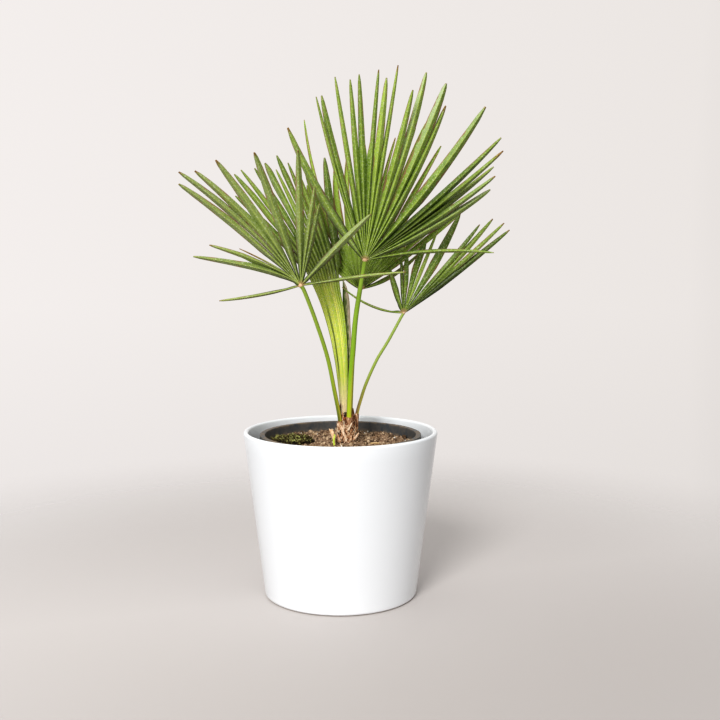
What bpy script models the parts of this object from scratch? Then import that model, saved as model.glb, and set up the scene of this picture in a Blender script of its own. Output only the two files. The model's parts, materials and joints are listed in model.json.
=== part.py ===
"""Potted fan palm: a young fan palm in a black nursery pot, which stands inside a white cover pot.

Units are metres and degrees. The origin is the centre of the cover pot's foot, +Z is up, and -Y is
the side that faces the viewer. Every piece is one closed solid with a gap of FIT to its neighbours.
"""
import math
from typing import NamedTuple

import bmesh
import bpy
import numpy as np
from mathutils import Vector, noise

FIT = 0.0003
DRILL_SIDES = 12
DRILL_BEYOND = 0.002

# Cover pot: a plain tapered pot, glazed all over
COVER_HEIGHT = 0.171
COVER_FOOT_RADIUS = 0.079
COVER_RIM_RADIUS = 0.100
COVER_WALL = 0.005
COVER_FLOOR = 0.008
COVER_FOOT_ROUND = 0.003
COVER_SIDES = 60

# Nursery pot: a thin moulded pot with a turned-down rim and drainage holes
NURSERY_TOP = 0.167
NURSERY_FOOT_RADIUS = 0.058
NURSERY_NECK_RADIUS = 0.079
NURSERY_RIM_RADIUS = 0.083
NURSERY_RIM_DEPTH = 0.007
NURSERY_WALL = 0.0012
NURSERY_FLOOR = 0.0015
NURSERY_SIDES = 40
DRAIN_HOLES = 6
DRAIN_RADIUS = 0.005
DRAIN_CIRCLE = 0.040

# Soil: fills the nursery pot to just under its rim, with a crumbly top
SOIL_TOP = 0.157
SOIL_SIDES = 40
SOIL_RINGS = 10
SOIL_EDGE_DROP = 0.002
CRUMB_HEIGHT = 0.0035
CRUMB_SIZE = 0.007
REST_HEIGHT = SOIL_TOP - 0.001
LEVEL_FROM = 1.15
LEVEL_TO = 1.35

# Moss: a low cushion that lies on a level patch of the soil
MOSS_CENTRE = (-0.047, 0.012)
MOSS_RADII = (0.022, 0.028)
MOSS_HEIGHT = 0.005
MOSS_EDGE = 0.0012
MOSS_EDGE_WAVE = 0.16
MOSS_BUMP = 0.0016
MOSS_BUMP_SIZE = 0.005
MOSS_SIDES = 28
MOSS_RINGS = 4

# Trunk: a short stock of old leaf bases, its lower end in a round hole in the soil
TRUNK_CENTRE = (0.0060, 0.0)
TRUNK_FOOT = 0.132
TRUNK_BURIED_RADIUS = 0.0115
TRUNK_TOP = 0.189
TRUNK_LEAN = 0.0015
TRUNK_SIDES = 14
TRUNK_RINGS = (TRUNK_FOOT, SOIL_TOP - 0.004, SOIL_TOP + 0.002, 0.164, 0.169, 0.174, 0.180, 0.185, TRUNK_TOP)
TRUNK_TAPER = 0.22
TRUNK_CROWN = 0.7
TRUNK_ROUGHNESS = 0.0016
TRUNK_LUMP = 0.009
SHEATH_WALL = 0.0018
SHEATH_LIP = 0.0009
SHEATH_LENGTH = 0.020
PETIOLE_SIDES = 8

# Old leaf bases: pointed scales that spring from the trunk, turn by turn and row by row
OLD_BASES = 14
BASE_TURN = 2.4
BASE_LOWEST = SOIL_TOP + 0.006
BASE_ROWS = 8
BASE_ROW_RISE = 0.0017
BASE_LENGTHS = (0.017, 0.021, 0.025)
BASE_CURVE = ((0.0068, 0.0), (0.0108, 0.4), (0.0118, 0.75), (0.0113, 1.0))
BASE_RADII = (0.0036, 0.0030, 0.0020, 0.0007)
BASE_SIDES = 6

# Small things on the soil
TWIG_PLACE = (0.0355, -0.002)
TWIG_LENGTH = 0.010
TWIG_SLANT = 0.002
TWIG_RADIUS = 0.0008
TWIG_BED = 1.3 * TWIG_LENGTH
STEM_RADIUS = 0.0011
STEM_HOLE_DEPTH = 0.008
STEM_ABOVE = 0.002
STANDING_RISE = (0.0, 0.3, 0.6, 0.85, 1.0)
STANDING_FLATNESS = 0.6

# Leaves: pleated blades, folded along the midrib, that meet in one palm round the hub
BLADE_THICKNESS = 0.0011
FOLD = 1.0
DEEPEST_FOLD = 0.003
SHARE_OF_ROOM = 0.42
HUB_ROW = 0.0015
PALM_ROWS = (0.25, 0.45, 0.65, 0.83, 1.0)
FREE_ROWS = (0.22, 0.52, 0.84, 1.0)
FULL_WIDTH_FROM = 0.32
FULL_WIDTH_TO = 0.76
LEAST_GAP_TO_SPLIT_LOW = 17.0
ROOT_LEAN = 0.4
KNOB_RADIUS = 0.0032
KNOB_RINGS = (-50, -15, 20, 55)


class Blade(NamedTuple):
    """One leaf segment: where its tip lies from the hub, how wide it is, and how it curves."""

    swing: float  # degrees from straight up to the tip, positive toward +X
    reach: float  # distance from hub to tip
    width: float  # widest free part, as folded
    bend: float = 0.0  # degrees that the root is turned from the swing
    lift: float = 0.0  # degrees that the tip comes forward of its neighbours
    knee: float = 0.5  # where along the reach it turns from its root's way to its tip's


class Fan(NamedTuple):
    """One frond: its petiole, its hub, and the lean and cupping of its blades."""

    name: str
    petiole: tuple  # points from the foot in the trunk to the hub
    radii: tuple  # petiole radius at the foot and at the hub
    palm: float  # how far from the hub the blades stay joined
    lean: float  # degrees that the blades come forward, toward -Y
    cup: float  # further degrees for a blade 60 degrees from the middle
    middle: float  # swing of the fan's middle
    face: int  # 1 where the fold's ridge faces the viewer, -1 where its valley does
    blades: tuple


class Standing(NamedTuple):
    """A small blade that stands in the soil: its foot, height, sideways lean and widths going up."""

    place: tuple
    height: float
    lean: float
    widths: tuple


FRONT = Fan(
    "frond_front",
    ((0.0085, -0.0055, 0.172), (0.0090, -0.0070, 0.195), (0.0105, -0.0105, 0.228),
     (0.0130, -0.0175, 0.255), (0.0160, -0.0260, 0.286), (0.0205, -0.0345, 0.316),
     (0.0240, -0.0420, 0.345)),
    (0.0028, 0.0023), 0.052, 10, 4, 10, 1,
    (Blade(-30.5, 0.146, 0.014, -8, -2), Blade(-17, 0.162, 0.005, -3, 3), Blade(-15, 0.161, 0.011, -3.5, -2),
     Blade(-9.5, 0.175, 0.007, 0, -3), Blade(-5, 0.171, 0.008, 0, 2), Blade(-2, 0.175, 0.009, 1, -2),
     Blade(4, 0.180, 0.007, -1, -4), Blade(6.5, 0.173, 0.011, 1, 2), Blade(9.5, 0.186, 0.006, 1, -3),
     Blade(15.5, 0.167, 0.010, 3, 2), Blade(18, 0.186, 0.009, 5, -3), Blade(24.5, 0.183, 0.010, 5, 2),
     Blade(27.5, 0.165, 0.009, 6, -2), Blade(38, 0.184, 0.012, 6, 2), Blade(48, 0.174, 0.009, 4, -2),
     Blade(51.5, 0.168, 0.008, 4, 2), Blade(54, 0.152, 0.008, 5, -2), Blade(57, 0.149, 0.008, 6, 2),
     Blade(60.5, 0.138, 0.010, 7, -2), Blade(86.5, 0.126, 0.005, -9)),
)
BACK = Fan(
    "frond_back",
    ((0.0110, 0.0060, 0.172), (0.0120, 0.0085, 0.195), (0.0148, 0.0165, 0.232), (0.0176, 0.0220, 0.270),
     (0.0195, 0.0250, 0.300), (0.0215, 0.0280, 0.315)),
    (0.0020, 0.0017), 0.056, -6, -3, 5, -1,
    (Blade(-31, 0.118, 0.010, -27, 0, 0.35), Blade(-18.5, 0.187, 0.005, -12),
     Blade(-12, 0.130, 0.008, -12, 2), Blade(-5.5, 0.143, 0.009, -10, -2), Blade(1, 0.150, 0.008, -7, 1), Blade(7, 0.155, 0.008, -5, -2),
     Blade(13, 0.162, 0.006, -4, 1), Blade(19, 0.179, 0.008, -4, -1), Blade(21.5, 0.185, 0.008, -2, 2),
     Blade(26, 0.179, 0.009, -2, -2), Blade(29.5, 0.172, 0.008, -1, 1), Blade(32.5, 0.140, 0.008, 0, -2),
     Blade(39, 0.112, 0.008, 0, 1), Blade(44, 0.140, 0.008, 0, -1), Blade(48.5, 0.138, 0.008, 1, 1),
     Blade(53, 0.134, 0.009, 1, -1), Blade(59, 0.072, 0.006, 16)),
)
LEFT = Fan(
    "frond_left",
    ((0.0005, -0.0045, 0.172), (-0.0015, -0.0055, 0.188), (-0.0060, -0.0110, 0.212),
     (-0.0130, -0.0220, 0.248), (-0.0240, -0.0390, 0.285), (-0.0345, -0.0560, 0.315),
     (-0.0380, -0.0600, 0.321)),
    (0.0022, 0.0019), 0.040, 20, 3, -20, 1,
    (Blade(-100, 0.083, 0.004, -5), Blade(-74, 0.108, 0.007, 30, -1, 0.2),
     Blade(-65, 0.098, 0.006, 23, 1, 0.25), Blade(-58, 0.070, 0.005, 18, -2, 0.3),
     Blade(-49, 0.152, 0.008, 8, 2), Blade(-46, 0.157, 0.008, 8, -2), Blade(-41.5, 0.149, 0.008, 8, 1),
     Blade(-33, 0.144, 0.009, 3, -1), Blade(-18, 0.136, 0.010, 0, 1), Blade(0, 0.132, 0.009, 0, 1),
     Blade(9, 0.098, 0.007, 0, -2), Blade(14, 0.085, 0.007, 0, 1), Blade(45, 0.104, 0.008, -2, 3),
     Blade(82, 0.112, 0.0045, -2)),
)
RIGHT = Fan(
    "frond_right",
    ((0.0150, 0.0000, 0.172), (0.0170, 0.0010, 0.188), (0.0215, 0.0025, 0.204), (0.0270, 0.0030, 0.220),
     (0.0375, 0.0040, 0.243), (0.0495, 0.0045, 0.263), (0.0620, 0.0050, 0.286), (0.0650, 0.0050, 0.291)),
    (0.0017, 0.0014), 0.024, 6, 0, 20, 1,
    (Blade(-67, 0.069, 0.0035, -21), Blade(-18, 0.049, 0.008, -3), Blade(-3, 0.058, 0.005, 0, -3),
     Blade(2.5, 0.062, 0.008, 0, 2), Blade(16, 0.078, 0.011, 0, -1), Blade(21.5, 0.090, 0.005, 1, 3),
     Blade(29, 0.116, 0.010, 5, -1), Blade(40, 0.118, 0.007, 4, 1), Blade(43, 0.131, 0.008, 4, -2),
     Blade(47.5, 0.136, 0.007, 3, 1), Blade(51.5, 0.136, 0.008, 2, -2)),
)

# Young frond: still folded in a pleated column, that opens above the older petioles
YOUNG_COLUMN = (
    (0.0050, 0.0030, 0.197, 0.0050), (0.0034, 0.0030, 0.209, 0.0068), (0.0022, 0.0035, 0.225, 0.0090),
    (0.0008, 0.0040, 0.242, 0.0125), (-0.0022, 0.0050, 0.267, 0.0170), (-0.0073, 0.0065, 0.294, 0.0220),
    (-0.0130, 0.0085, 0.314, 0.0262), (-0.0190, 0.0105, 0.335, 0.0345),
)
YOUNG_THICKNESS = (0.0040, 0.0040, 0.0036, 0.0030, 0.0024, 0.0018, 0.0014, 0.0012)
YOUNG_BULGE = 0.22
YOUNG_PLEAT_SHARE = 0.86
YOUNG_STALK = ((0.0040, 0.0020, 0.172), (0.0048, 0.0028, 0.190), (0.0036, 0.0030, 0.212),
               (0.0020, 0.0036, 0.232))
YOUNG_STALK_RADII = (0.0026, 0.0018)
YOUNG_LEAN = -5
YOUNG_KNEE = 0.4
YOUNG_UPWARD_SHARE = 0.3
YOUNG_BLADES = (
    Blade(-49.5, 0.117, 0.007), Blade(-42.5, 0.133, 0.008), Blade(-39, 0.132, 0.006),
    Blade(-33.5, 0.125, 0.008), Blade(-28.5, 0.123, 0.009), Blade(-25, 0.121, 0.006),
    Blade(-21.5, 0.126, 0.009), Blade(-17.5, 0.115, 0.006), Blade(-14, 0.108, 0.006),
    Blade(-9.5, 0.102, 0.006), Blade(1.5, 0.115, 0.010),
)

# Spear: the newest leaf, shut tight, behind the young frond
SPEAR = ((0.0055, 0.0080, 0.172), (0.0072, 0.0092, 0.195), (0.0090, 0.0105, 0.225), (0.0098, 0.0115, 0.255),
         (0.0090, 0.0125, 0.285), (0.0065, 0.0130, 0.310), (0.0040, 0.0130, 0.324))
SPEAR_RADII = (0.0016, 0.0018, 0.0020, 0.0026, 0.0032, 0.0024, 0.0006)

# Seedling and dry scrap of leaf base that stand in the soil in front of the trunk
SPROUT = Standing((-0.0068, -0.0245), 0.014, 0.0006, (0.0018, 0.0024, 0.0024, 0.0016, 0.0008))
HUSK = Standing((-0.0060, -0.0165), 0.018, -0.0042, (0.0018, 0.0018, 0.0026, 0.0042, 0.0030))

# Colours as linear red, green and blue, with roughness
GLAZE = ((0.90, 0.90, 0.90), 0.12)
BLACK_PLASTIC = ((0.055, 0.060, 0.062), 0.55)
SOIL_BROWN = ((0.105, 0.075, 0.052), 0.95)
MOSS_GREEN = ((0.080, 0.110, 0.025), 0.95)
BARK = ((0.230, 0.090, 0.040), 0.85)
LEAF_GREEN = ((0.130, 0.240, 0.040), 0.42)
LEAF_BLUE_GREEN = ((0.110, 0.200, 0.060), 0.45)
YOUNG_GREEN = ((0.330, 0.520, 0.080), 0.40)
SPEAR_GREY = ((0.220, 0.220, 0.110), 0.75)
DRY_TAN = ((0.420, 0.290, 0.180), 0.85)
SMOOTH_BELOW = 40


def material(name, finish):
    """A Principled material of one colour and roughness."""
    colour, roughness = finish
    made = bpy.data.materials.new(name)
    made.use_nodes = True
    shader = made.node_tree.nodes["Principled BSDF"]
    shader.inputs["Base Color"].default_value = (*colour, 1.0)
    shader.inputs["Roughness"].default_value = roughness
    shader.inputs["Metallic"].default_value = 0.0
    return made


def mesh_object(name, points, faces, finish, smooth_below=SMOOTH_BELOW):
    """A named object from points and faces, shaded smooth except across edges past the angle."""
    mesh = bpy.data.meshes.new(name)
    mesh.from_pydata([tuple(point) for point in points], [], faces)
    mesh.materials.append(finish)
    mesh.validate()
    mesh.shade_smooth()
    mesh.set_sharp_from_angle(angle=math.radians(smooth_below))
    made = bpy.data.objects.new(name, mesh)
    bpy.context.scene.collection.objects.link(made)
    return made


def apply_boolean(target, others, operation, solver="EXACT"):
    """Joins the other objects to the target, or cuts them from it, and removes them.

    The many-cornered faces that this leaves are split into well-shaped triangles.
    """
    tools = bpy.data.collections.new(target.name + "_tools")
    for other in others:
        tools.objects.link(other)
    step = target.modifiers.new(operation.title(), "BOOLEAN")
    step.operation = operation
    step.operand_type = "COLLECTION"
    step.collection = tools
    step.solver = solver
    graph = bpy.context.evaluated_depsgraph_get()
    graph.update()
    whole = bpy.data.meshes.new_from_object(target.evaluated_get(graph))
    target.modifiers.clear()
    target.data = whole
    shape = bmesh.new()
    shape.from_mesh(whole)
    bmesh.ops.triangulate(shape, faces=shape.faces, ngon_method="BEAUTY")
    shape.to_mesh(whole)
    shape.free()
    for other in others:
        bpy.data.objects.remove(other)
    bpy.data.collections.remove(tools)
    target.data.shade_smooth()
    target.data.set_sharp_from_angle(angle=math.radians(SMOOTH_BELOW))


def drop_scraps(target):
    """Keeps the largest connected body of a mesh, where a cut has left a loose scrap beside it."""
    shape = bmesh.new()
    shape.from_mesh(target.data)
    waiting = set(shape.verts)
    bodies = []
    while waiting:
        front = [waiting.pop()]
        body = set(front)
        while front:
            vertex = front.pop()
            for edge in vertex.link_edges:
                other = edge.other_vert(vertex)
                if other in waiting:
                    waiting.discard(other)
                    body.add(other)
                    front.append(other)
        bodies.append(body)
    bodies.sort(key=len)
    for body in bodies[:-1]:
        bmesh.ops.delete(shape, geom=list(body), context="VERTS")
    shape.to_mesh(target.data)
    shape.free()


def circle(radius, height, sides, centre=(0.0, 0.0)):
    """Points evenly round an upright axis, anticlockwise from +X."""
    angles = [2 * math.pi * side / sides for side in range(sides)]
    return [(centre[0] + radius * math.cos(a), centre[1] + radius * math.sin(a), height) for a in angles]


def stacked(name, rings, poles, finish, smooth_below=SMOOTH_BELOW):
    """A closed solid from rings of as many points, each anticlockwise as seen from where they lead.

    poles holds the point that closes the first ring and the one that closes the last. Where it
    is None, the ring is closed flat.
    """
    sides = len(rings[0])
    points = [point for ring in rings for point in ring]
    last = len(points) - sides
    faces = []
    for low in range(0, last, sides):
        high = low + sides
        for side in range(sides):
            after = (side + 1) % sides
            faces.append((low + side, low + after, high + after))
            faces.append((low + side, high + after, high + side))
    ends = (range(sides - 1, -1, -1), range(last, last + sides))
    for pole, end in zip(poles, ends):
        if pole is None:
            faces.append(tuple(end))
            continue
        points.append(pole)
        for side in range(sides):
            faces.append((end[side], end[(side + 1) % sides], len(points) - 1))
    return mesh_object(name, points, faces, finish, smooth_below)


def turned(name, profile, sides, finish):
    """A solid turned round Z. The profile runs from the axis at the bottom, outside, back to the axis."""
    rings = [circle(radius, height, sides) for radius, height in profile[1:-1]]
    return stacked(name, rings, ((0.0, 0.0, profile[0][1]), (0.0, 0.0, profile[-1][1])), finish)


def quarter_round(centre, radius, start, steps=3):
    """Points of a quarter circle in a profile, anticlockwise from the start angle."""
    angles = [math.radians(start + 90 * step / steps) for step in range(steps + 1)]
    return [(centre[0] + radius * math.cos(a), centre[1] + radius * math.sin(a)) for a in angles]


def smooth_path(points, steps):
    """A Catmull-Rom curve through the points, with the given steps in each span."""
    points = [Vector(point) for point in points]
    padded = [2 * points[0] - points[1], *points, 2 * points[-1] - points[-2]]
    path = []
    for index in range(len(points) - 1):
        a, b, c, d = padded[index:index + 4]
        for step in range(steps):
            t = step / steps
            path.append(0.5 * (2 * b + (c - a) * t + (2 * a - 5 * b + 4 * c - d) * t * t
                               + (3 * b - a - 3 * c + d) * t ** 3))
    path.append(points[-1])
    return path


def tube(name, path, radii, sides, finish):
    """A closed tube along a path, whose radius runs through the given values."""
    spots = np.linspace(0, 1, len(radii))
    rings = []
    for index, centre in enumerate(path):
        ahead = path[min(index + 1, len(path) - 1)]
        behind = path[max(index - 1, 0)]
        along = (ahead - behind).normalized()
        across = Vector((0, 1, 0)).cross(along).normalized()
        up = along.cross(across)
        radius = float(np.interp(index / (len(path) - 1), spots, radii))
        rings.append([centre + radius * (x * across + y * up) for x, y, _ in circle(1.0, 0.0, sides)])
    return stacked(name, rings, (None, None), finish)


def direction(swing, lean):
    """The unit vector of a blade: swing turns it sideways from straight up, lean brings it forward."""
    swing = math.radians(swing)
    lean = math.radians(lean)
    return np.array([math.sin(swing) * math.cos(lean), -math.sin(lean), math.cos(swing) * math.cos(lean)])


def arc(start, root, tip, amounts):
    """Points of a quadratic curve that leaves the start toward root and ends at tip."""
    t = np.asarray(amounts)[:, None]
    return (1 - t) ** 2 * start + 2 * t * (1 - t) * root + t ** 2 * tip


def unit(vectors):
    """Each row scaled to length one."""
    return vectors / np.linalg.norm(vectors, axis=-1, keepdims=True)


def blade_width(amount):
    """How wide a blade is along its length, from 0 at the hub to 1 at the tip, as a share of its widest."""
    rise = min(1.0, 0.25 + 0.75 * amount / FULL_WIDTH_FROM)
    fall = min(1.0, max(0.0, 1 - amount) / (1 - FULL_WIDTH_TO))
    return rise * fall ** 0.5


def pleated_sheet(name, middles, widths, splits, thickness, face, finish):
    """One closed sheet of folded blades.

    middles holds each blade's midrib, row by row. Up to its split row a blade shares the edge
    with the next one, halfway between the midribs and back by the fold. Past it each blade has
    edges of its own, as wide as widths allows and less than half of the way to its neighbour.
    The sheet is the rows moved half the thickness to each side, and both sides split alike.
    """
    count, rows = middles.shape[:2]
    along = unit(np.gradient(middles, axis=1))
    right = unit(np.cross(np.array([0.0, 1.0, 0.0]), along))
    back = np.cross(along, right)
    points = []
    faces = []

    def add(point, outward, row):
        offset = outward * thickness[row] / 2
        points.append(point - offset)
        points.append(point + offset)
        return len(points) - 2

    def room(blade, row, neighbour):
        if not 0 <= neighbour < count:
            return 1.0
        starts = middles[neighbour, :-1]
        spans = middles[neighbour, 1:] - starts
        away = middles[blade, row] - starts
        share = np.clip((away * spans).sum(axis=1) / (spans ** 2).sum(axis=1), 0, 1)
        return float(np.linalg.norm(away - share[:, None] * spans, axis=1).min())

    def own_edge(blade, row, side):
        half = min(widths[blade, row] / 2, SHARE_OF_ROOM * room(blade, row, blade + side))
        place = middles[blade, row] + side * half * right[blade, row]
        return add(place + face * FOLD * half * back[blade, row], back[blade, row], row)

    def shared_edge(blade, row):
        apart = middles[blade + 1, row] - middles[blade, row]
        outward = unit(back[blade, row] + back[blade + 1, row])
        depth = FOLD * min(float(np.linalg.norm(apart)) / 2, DEEPEST_FOLD)
        return add(middles[blade, row] + apart / 2 + face * depth * outward, outward, row)

    def quad(a, b, c, d):
        faces.append((a, b, c))
        faces.append((a, c, d))

    def wall(low, high):
        quad(low, low + 1, high + 1, high)

    previous = [None] * (rows - 1)
    for blade in range(count):
        tip = add(middles[blade, -1], back[blade, -1], rows - 1)
        lefts = []
        centres = []
        rights = []
        for row in range(rows - 1):
            joined_left = blade > 0 and row <= splits[blade - 1]
            lefts.append(previous[row] if joined_left else own_edge(blade, row, -1))
            centres.append(add(middles[blade, row], back[blade, row], row))
            joined_right = blade < count - 1 and row <= splits[blade]
            rights.append(shared_edge(blade, row) if joined_right else own_edge(blade, row, 1))
        previous = rights
        lefts.append(tip)
        centres.append(tip)
        rights.append(tip)
        wall(lefts[0], centres[0])
        wall(centres[0], rights[0])
        for row in range(rows - 1):
            near = (lefts[row], centres[row], rights[row])
            far = (lefts[row + 1], centres[row + 1], rights[row + 1])
            if row == rows - 2:
                for low, high in ((near[0], near[1]), (near[1], near[2])):
                    faces.append((low, high, tip))
                    faces.append((high + 1, low + 1, tip + 1))
            else:
                for low, high, top, corner in ((near[0], near[1], far[1], far[0]),
                                               (near[1], near[2], far[2], far[1])):
                    quad(low, high, top, corner)
                    faces.append((top + 1, high + 1, low + 1))
                    faces.append((corner + 1, top + 1, low + 1))
            if blade == 0 or row >= splits[blade - 1]:
                wall(far[0], near[0])
            if blade == count - 1 or row >= splits[blade]:
                wall(near[2], far[2])
    return mesh_object(name, points, faces, finish, smooth_below=25)


def split_rows(swings, joined_rows):
    """Where neighbours part: at the root for a wide pair, else at one of the last joined rows in turn."""
    parts = []
    for pair in range(len(swings) - 1):
        wide = swings[pair + 1] - swings[pair] > LEAST_GAP_TO_SPLIT_LOW
        parts.append(0 if wide else joined_rows - (pair * 2) % 3)
    return parts


def fan_blades(fan):
    """The midribs, row by row, and the width at each row, of a fan's blades."""
    hub = np.array(fan.petiole[-1])
    middles = []
    widths = []
    for blade in fan.blades:
        lean = fan.lean + fan.cup * ((blade.swing - fan.middle) / 60) ** 2
        root = hub + blade.knee * blade.reach * direction(blade.swing + blade.bend, lean * ROOT_LEAN)
        tip = hub + blade.reach * direction(blade.swing, lean + blade.lift)
        free = blade.reach - fan.palm
        lengths = [HUB_ROW] + [fan.palm * share for share in PALM_ROWS]
        lengths += [fan.palm + free * share for share in FREE_ROWS]
        amounts = np.array(lengths) / blade.reach
        middles.append(arc(hub, root, tip, amounts))
        widths.append([blade.width * blade_width(amount) for amount in amounts])
    return np.array(middles), np.array(widths)


def opened_frond(fan, finish):
    """A frond whose blades spread from the hub: the pleated fan, a knob and the petiole in one solid."""
    middles, widths = fan_blades(fan)
    root_swings = [blade.swing + blade.bend for blade in fan.blades]
    splits = split_rows(root_swings, len(PALM_ROWS))
    thickness = [BLADE_THICKNESS] * middles.shape[1]
    sheet = pleated_sheet(fan.name, middles, widths, splits, thickness, fan.face, finish)
    path = smooth_path(fan.petiole, 2)
    stalk = tube(fan.name + "_stalk", path, fan.radii, PETIOLE_SIDES, finish)
    knob = ball(fan.name + "_knob", path[-1], KNOB_RADIUS, finish)
    apply_boolean(sheet, [stalk, knob], "UNION")
    return sheet


def ball(name, centre, radius, finish):
    """A small round knob, from rings that shrink toward each pole."""
    angles = [math.radians(degrees) for degrees in KNOB_RINGS]
    profile = [(radius * math.cos(angle), radius * math.sin(angle)) for angle in angles]
    made = turned(name, [(0.0, -radius), *profile, (0.0, radius)], PETIOLE_SIDES, finish)
    made.location = centre
    return made


def young_frond(finish):
    """The young frond: a pleated column of all its blades side by side, that part above it."""
    count = len(YOUNG_BLADES)
    top = YOUNG_COLUMN[-1]
    hub = np.array(top[:3])
    free_rows = np.array(FREE_ROWS)
    free_amounts = FULL_WIDTH_FROM + (1 - FULL_WIDTH_FROM) * free_rows
    middles = []
    widths = []
    for index, blade in enumerate(YOUNG_BLADES):
        across = (index + 0.5) / count - 0.5
        column = [(x + across * width, y + YOUNG_BULGE * width * (2 * across) ** 2, z)
                  for x, y, z, width in YOUNG_COLUMN]
        start = np.array(column[-1])
        upward = unit(start - np.array(column[-2]))
        tip = hub + blade.reach * direction(blade.swing, YOUNG_LEAN)
        ahead = unit(tip - start)
        way = unit(YOUNG_UPWARD_SHARE * upward + (1 - YOUNG_UPWARD_SHARE) * ahead)
        root = start + YOUNG_KNEE * blade.reach * way
        middles.append(np.vstack([column, arc(start, root, tip, free_rows)]))
        pleat = [YOUNG_PLEAT_SHARE * width / count for _, _, _, width in YOUNG_COLUMN]
        widths.append(pleat + [blade.width * blade_width(amount) for amount in free_amounts])
    splits = [len(YOUNG_COLUMN) - 1 - pair % 2 for pair in range(count - 1)]
    thickness = [*YOUNG_THICKNESS, *[BLADE_THICKNESS] * len(FREE_ROWS)]
    sheet = pleated_sheet("frond_young", np.array(middles), np.array(widths), splits, thickness, 1, finish)
    stalk_path = smooth_path(YOUNG_STALK, 2)
    stalk = tube("frond_young_stalk", stalk_path, YOUNG_STALK_RADII, PETIOLE_SIDES, finish)
    apply_boolean(sheet, [stalk], "UNION")
    return sheet


def spear(finish):
    """The shut newest leaf, a slim tapering rod."""
    return tube("frond_spear", smooth_path(SPEAR, 2), SPEAR_RADII, PETIOLE_SIDES, finish)


def cover_radius(height):
    """The cover pot's outer radius at a height."""
    return COVER_FOOT_RADIUS + (COVER_RIM_RADIUS - COVER_FOOT_RADIUS) * height / COVER_HEIGHT


def cover_pot(finish):
    """The cover pot: a tapered wall on a flat floor, with a half-round rim."""
    lip = COVER_WALL / 2
    rim_height = COVER_HEIGHT - lip
    corner = (COVER_FOOT_RADIUS - COVER_FOOT_ROUND, COVER_FOOT_ROUND)
    rim = (cover_radius(rim_height) - lip, rim_height)
    inner_foot = cover_radius(COVER_FLOOR) - COVER_WALL
    profile = [(0.0, 0.0)]
    profile += quarter_round(corner, COVER_FOOT_ROUND, -90)
    profile += quarter_round(rim, lip, 0)
    profile += quarter_round(rim, lip, 90)[1:]
    profile += [(inner_foot, COVER_FLOOR + COVER_FOOT_ROUND), (inner_foot - COVER_FOOT_ROUND, COVER_FLOOR)]
    profile.append((0.0, COVER_FLOOR))
    return turned("cover_pot", profile, COVER_SIDES, finish)


def nursery_radius(height):
    """The nursery pot's outer radius at a height, below its rim."""
    share = (height - nursery_foot()) / (NURSERY_TOP - nursery_foot())
    return NURSERY_FOOT_RADIUS + (NURSERY_NECK_RADIUS - NURSERY_FOOT_RADIUS) * share


def nursery_foot():
    """The height of the nursery pot's underside, just clear of the cover pot's floor."""
    return COVER_FLOOR + FIT


def nursery_pot(finish):
    """The nursery pot: a thin tapered wall, a rim turned out and down, and drainage holes in the floor."""
    foot = nursery_foot()
    under_rim = NURSERY_TOP - NURSERY_WALL
    skirt = NURSERY_TOP - NURSERY_RIM_DEPTH
    rim = NURSERY_RIM_RADIUS
    bevel = NURSERY_WALL / 2
    profile = [
        (0.0, foot),
        (NURSERY_FOOT_RADIUS - bevel, foot),
        (NURSERY_FOOT_RADIUS, foot + bevel),
        (nursery_radius(under_rim), under_rim),
        (rim - NURSERY_WALL, under_rim),
        (rim - NURSERY_WALL, skirt),
        (rim, skirt),
        (rim, NURSERY_TOP - bevel),
        (rim - bevel, NURSERY_TOP),
        (nursery_radius(NURSERY_TOP) - NURSERY_WALL + bevel, NURSERY_TOP),
        (nursery_radius(NURSERY_TOP) - NURSERY_WALL, NURSERY_TOP - bevel),
        (NURSERY_FOOT_RADIUS - NURSERY_WALL, foot + NURSERY_FLOOR),
        (0.0, foot + NURSERY_FLOOR),
    ]
    pot = turned("nursery_pot", profile, NURSERY_SIDES, finish)
    drills = []
    for hole in range(DRAIN_HOLES):
        angle = 2 * math.pi * hole / DRAIN_HOLES
        place = (DRAIN_CIRCLE * math.cos(angle), DRAIN_CIRCLE * math.sin(angle))
        drills.append(drill(place, foot - DRILL_BEYOND, foot + NURSERY_FLOOR + DRILL_BEYOND,
                            DRAIN_RADIUS, finish))
    apply_boolean(pot, drills, "DIFFERENCE")
    return pot


def drill(place, low, high, radius, finish, sides=DRILL_SIDES):
    """An upright cylinder, used as a cutter."""
    profile = [(0.0, low), (radius, low), (radius, high), (0.0, high)]
    made = turned("drill", profile, sides, finish)
    made.location = (place[0], place[1], 0.0)
    return made


def hole_radius(radius, sides):
    """The corner radius of a many-sided hole whose flats stay FIT clear of a round stem."""
    return (radius + FIT) / math.cos(math.pi / sides)


def patch_share(x, y, centre, radii):
    """How level a spot is: 1 up to LEVEL_FROM times a patch's radii, 0 past LEVEL_TO, smooth between."""
    away = math.hypot((x - centre[0]) / radii[0], (y - centre[1]) / radii[1])
    share = min(1.0, max(0.0, (LEVEL_TO - away) / (LEVEL_TO - LEVEL_FROM)))
    return share * share * (3 - 2 * share)


def soil_height(x, y):
    """Crumbs of two sizes on a level top, pressed flat where the moss and the twig lie."""
    lumps = noise.noise(Vector((x, y, 0.0)) / CRUMB_SIZE)
    grains = noise.noise(Vector((x, y, 0.05)) / (0.45 * CRUMB_SIZE))
    height = SOIL_TOP + CRUMB_HEIGHT * (0.5 * lumps + 0.3 * grains)
    level = max(patch_share(x, y, MOSS_CENTRE, MOSS_RADII),
                patch_share(x, y, TWIG_PLACE, (TWIG_BED, TWIG_BED)))
    return height + (REST_HEIGHT - height) * level


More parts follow.
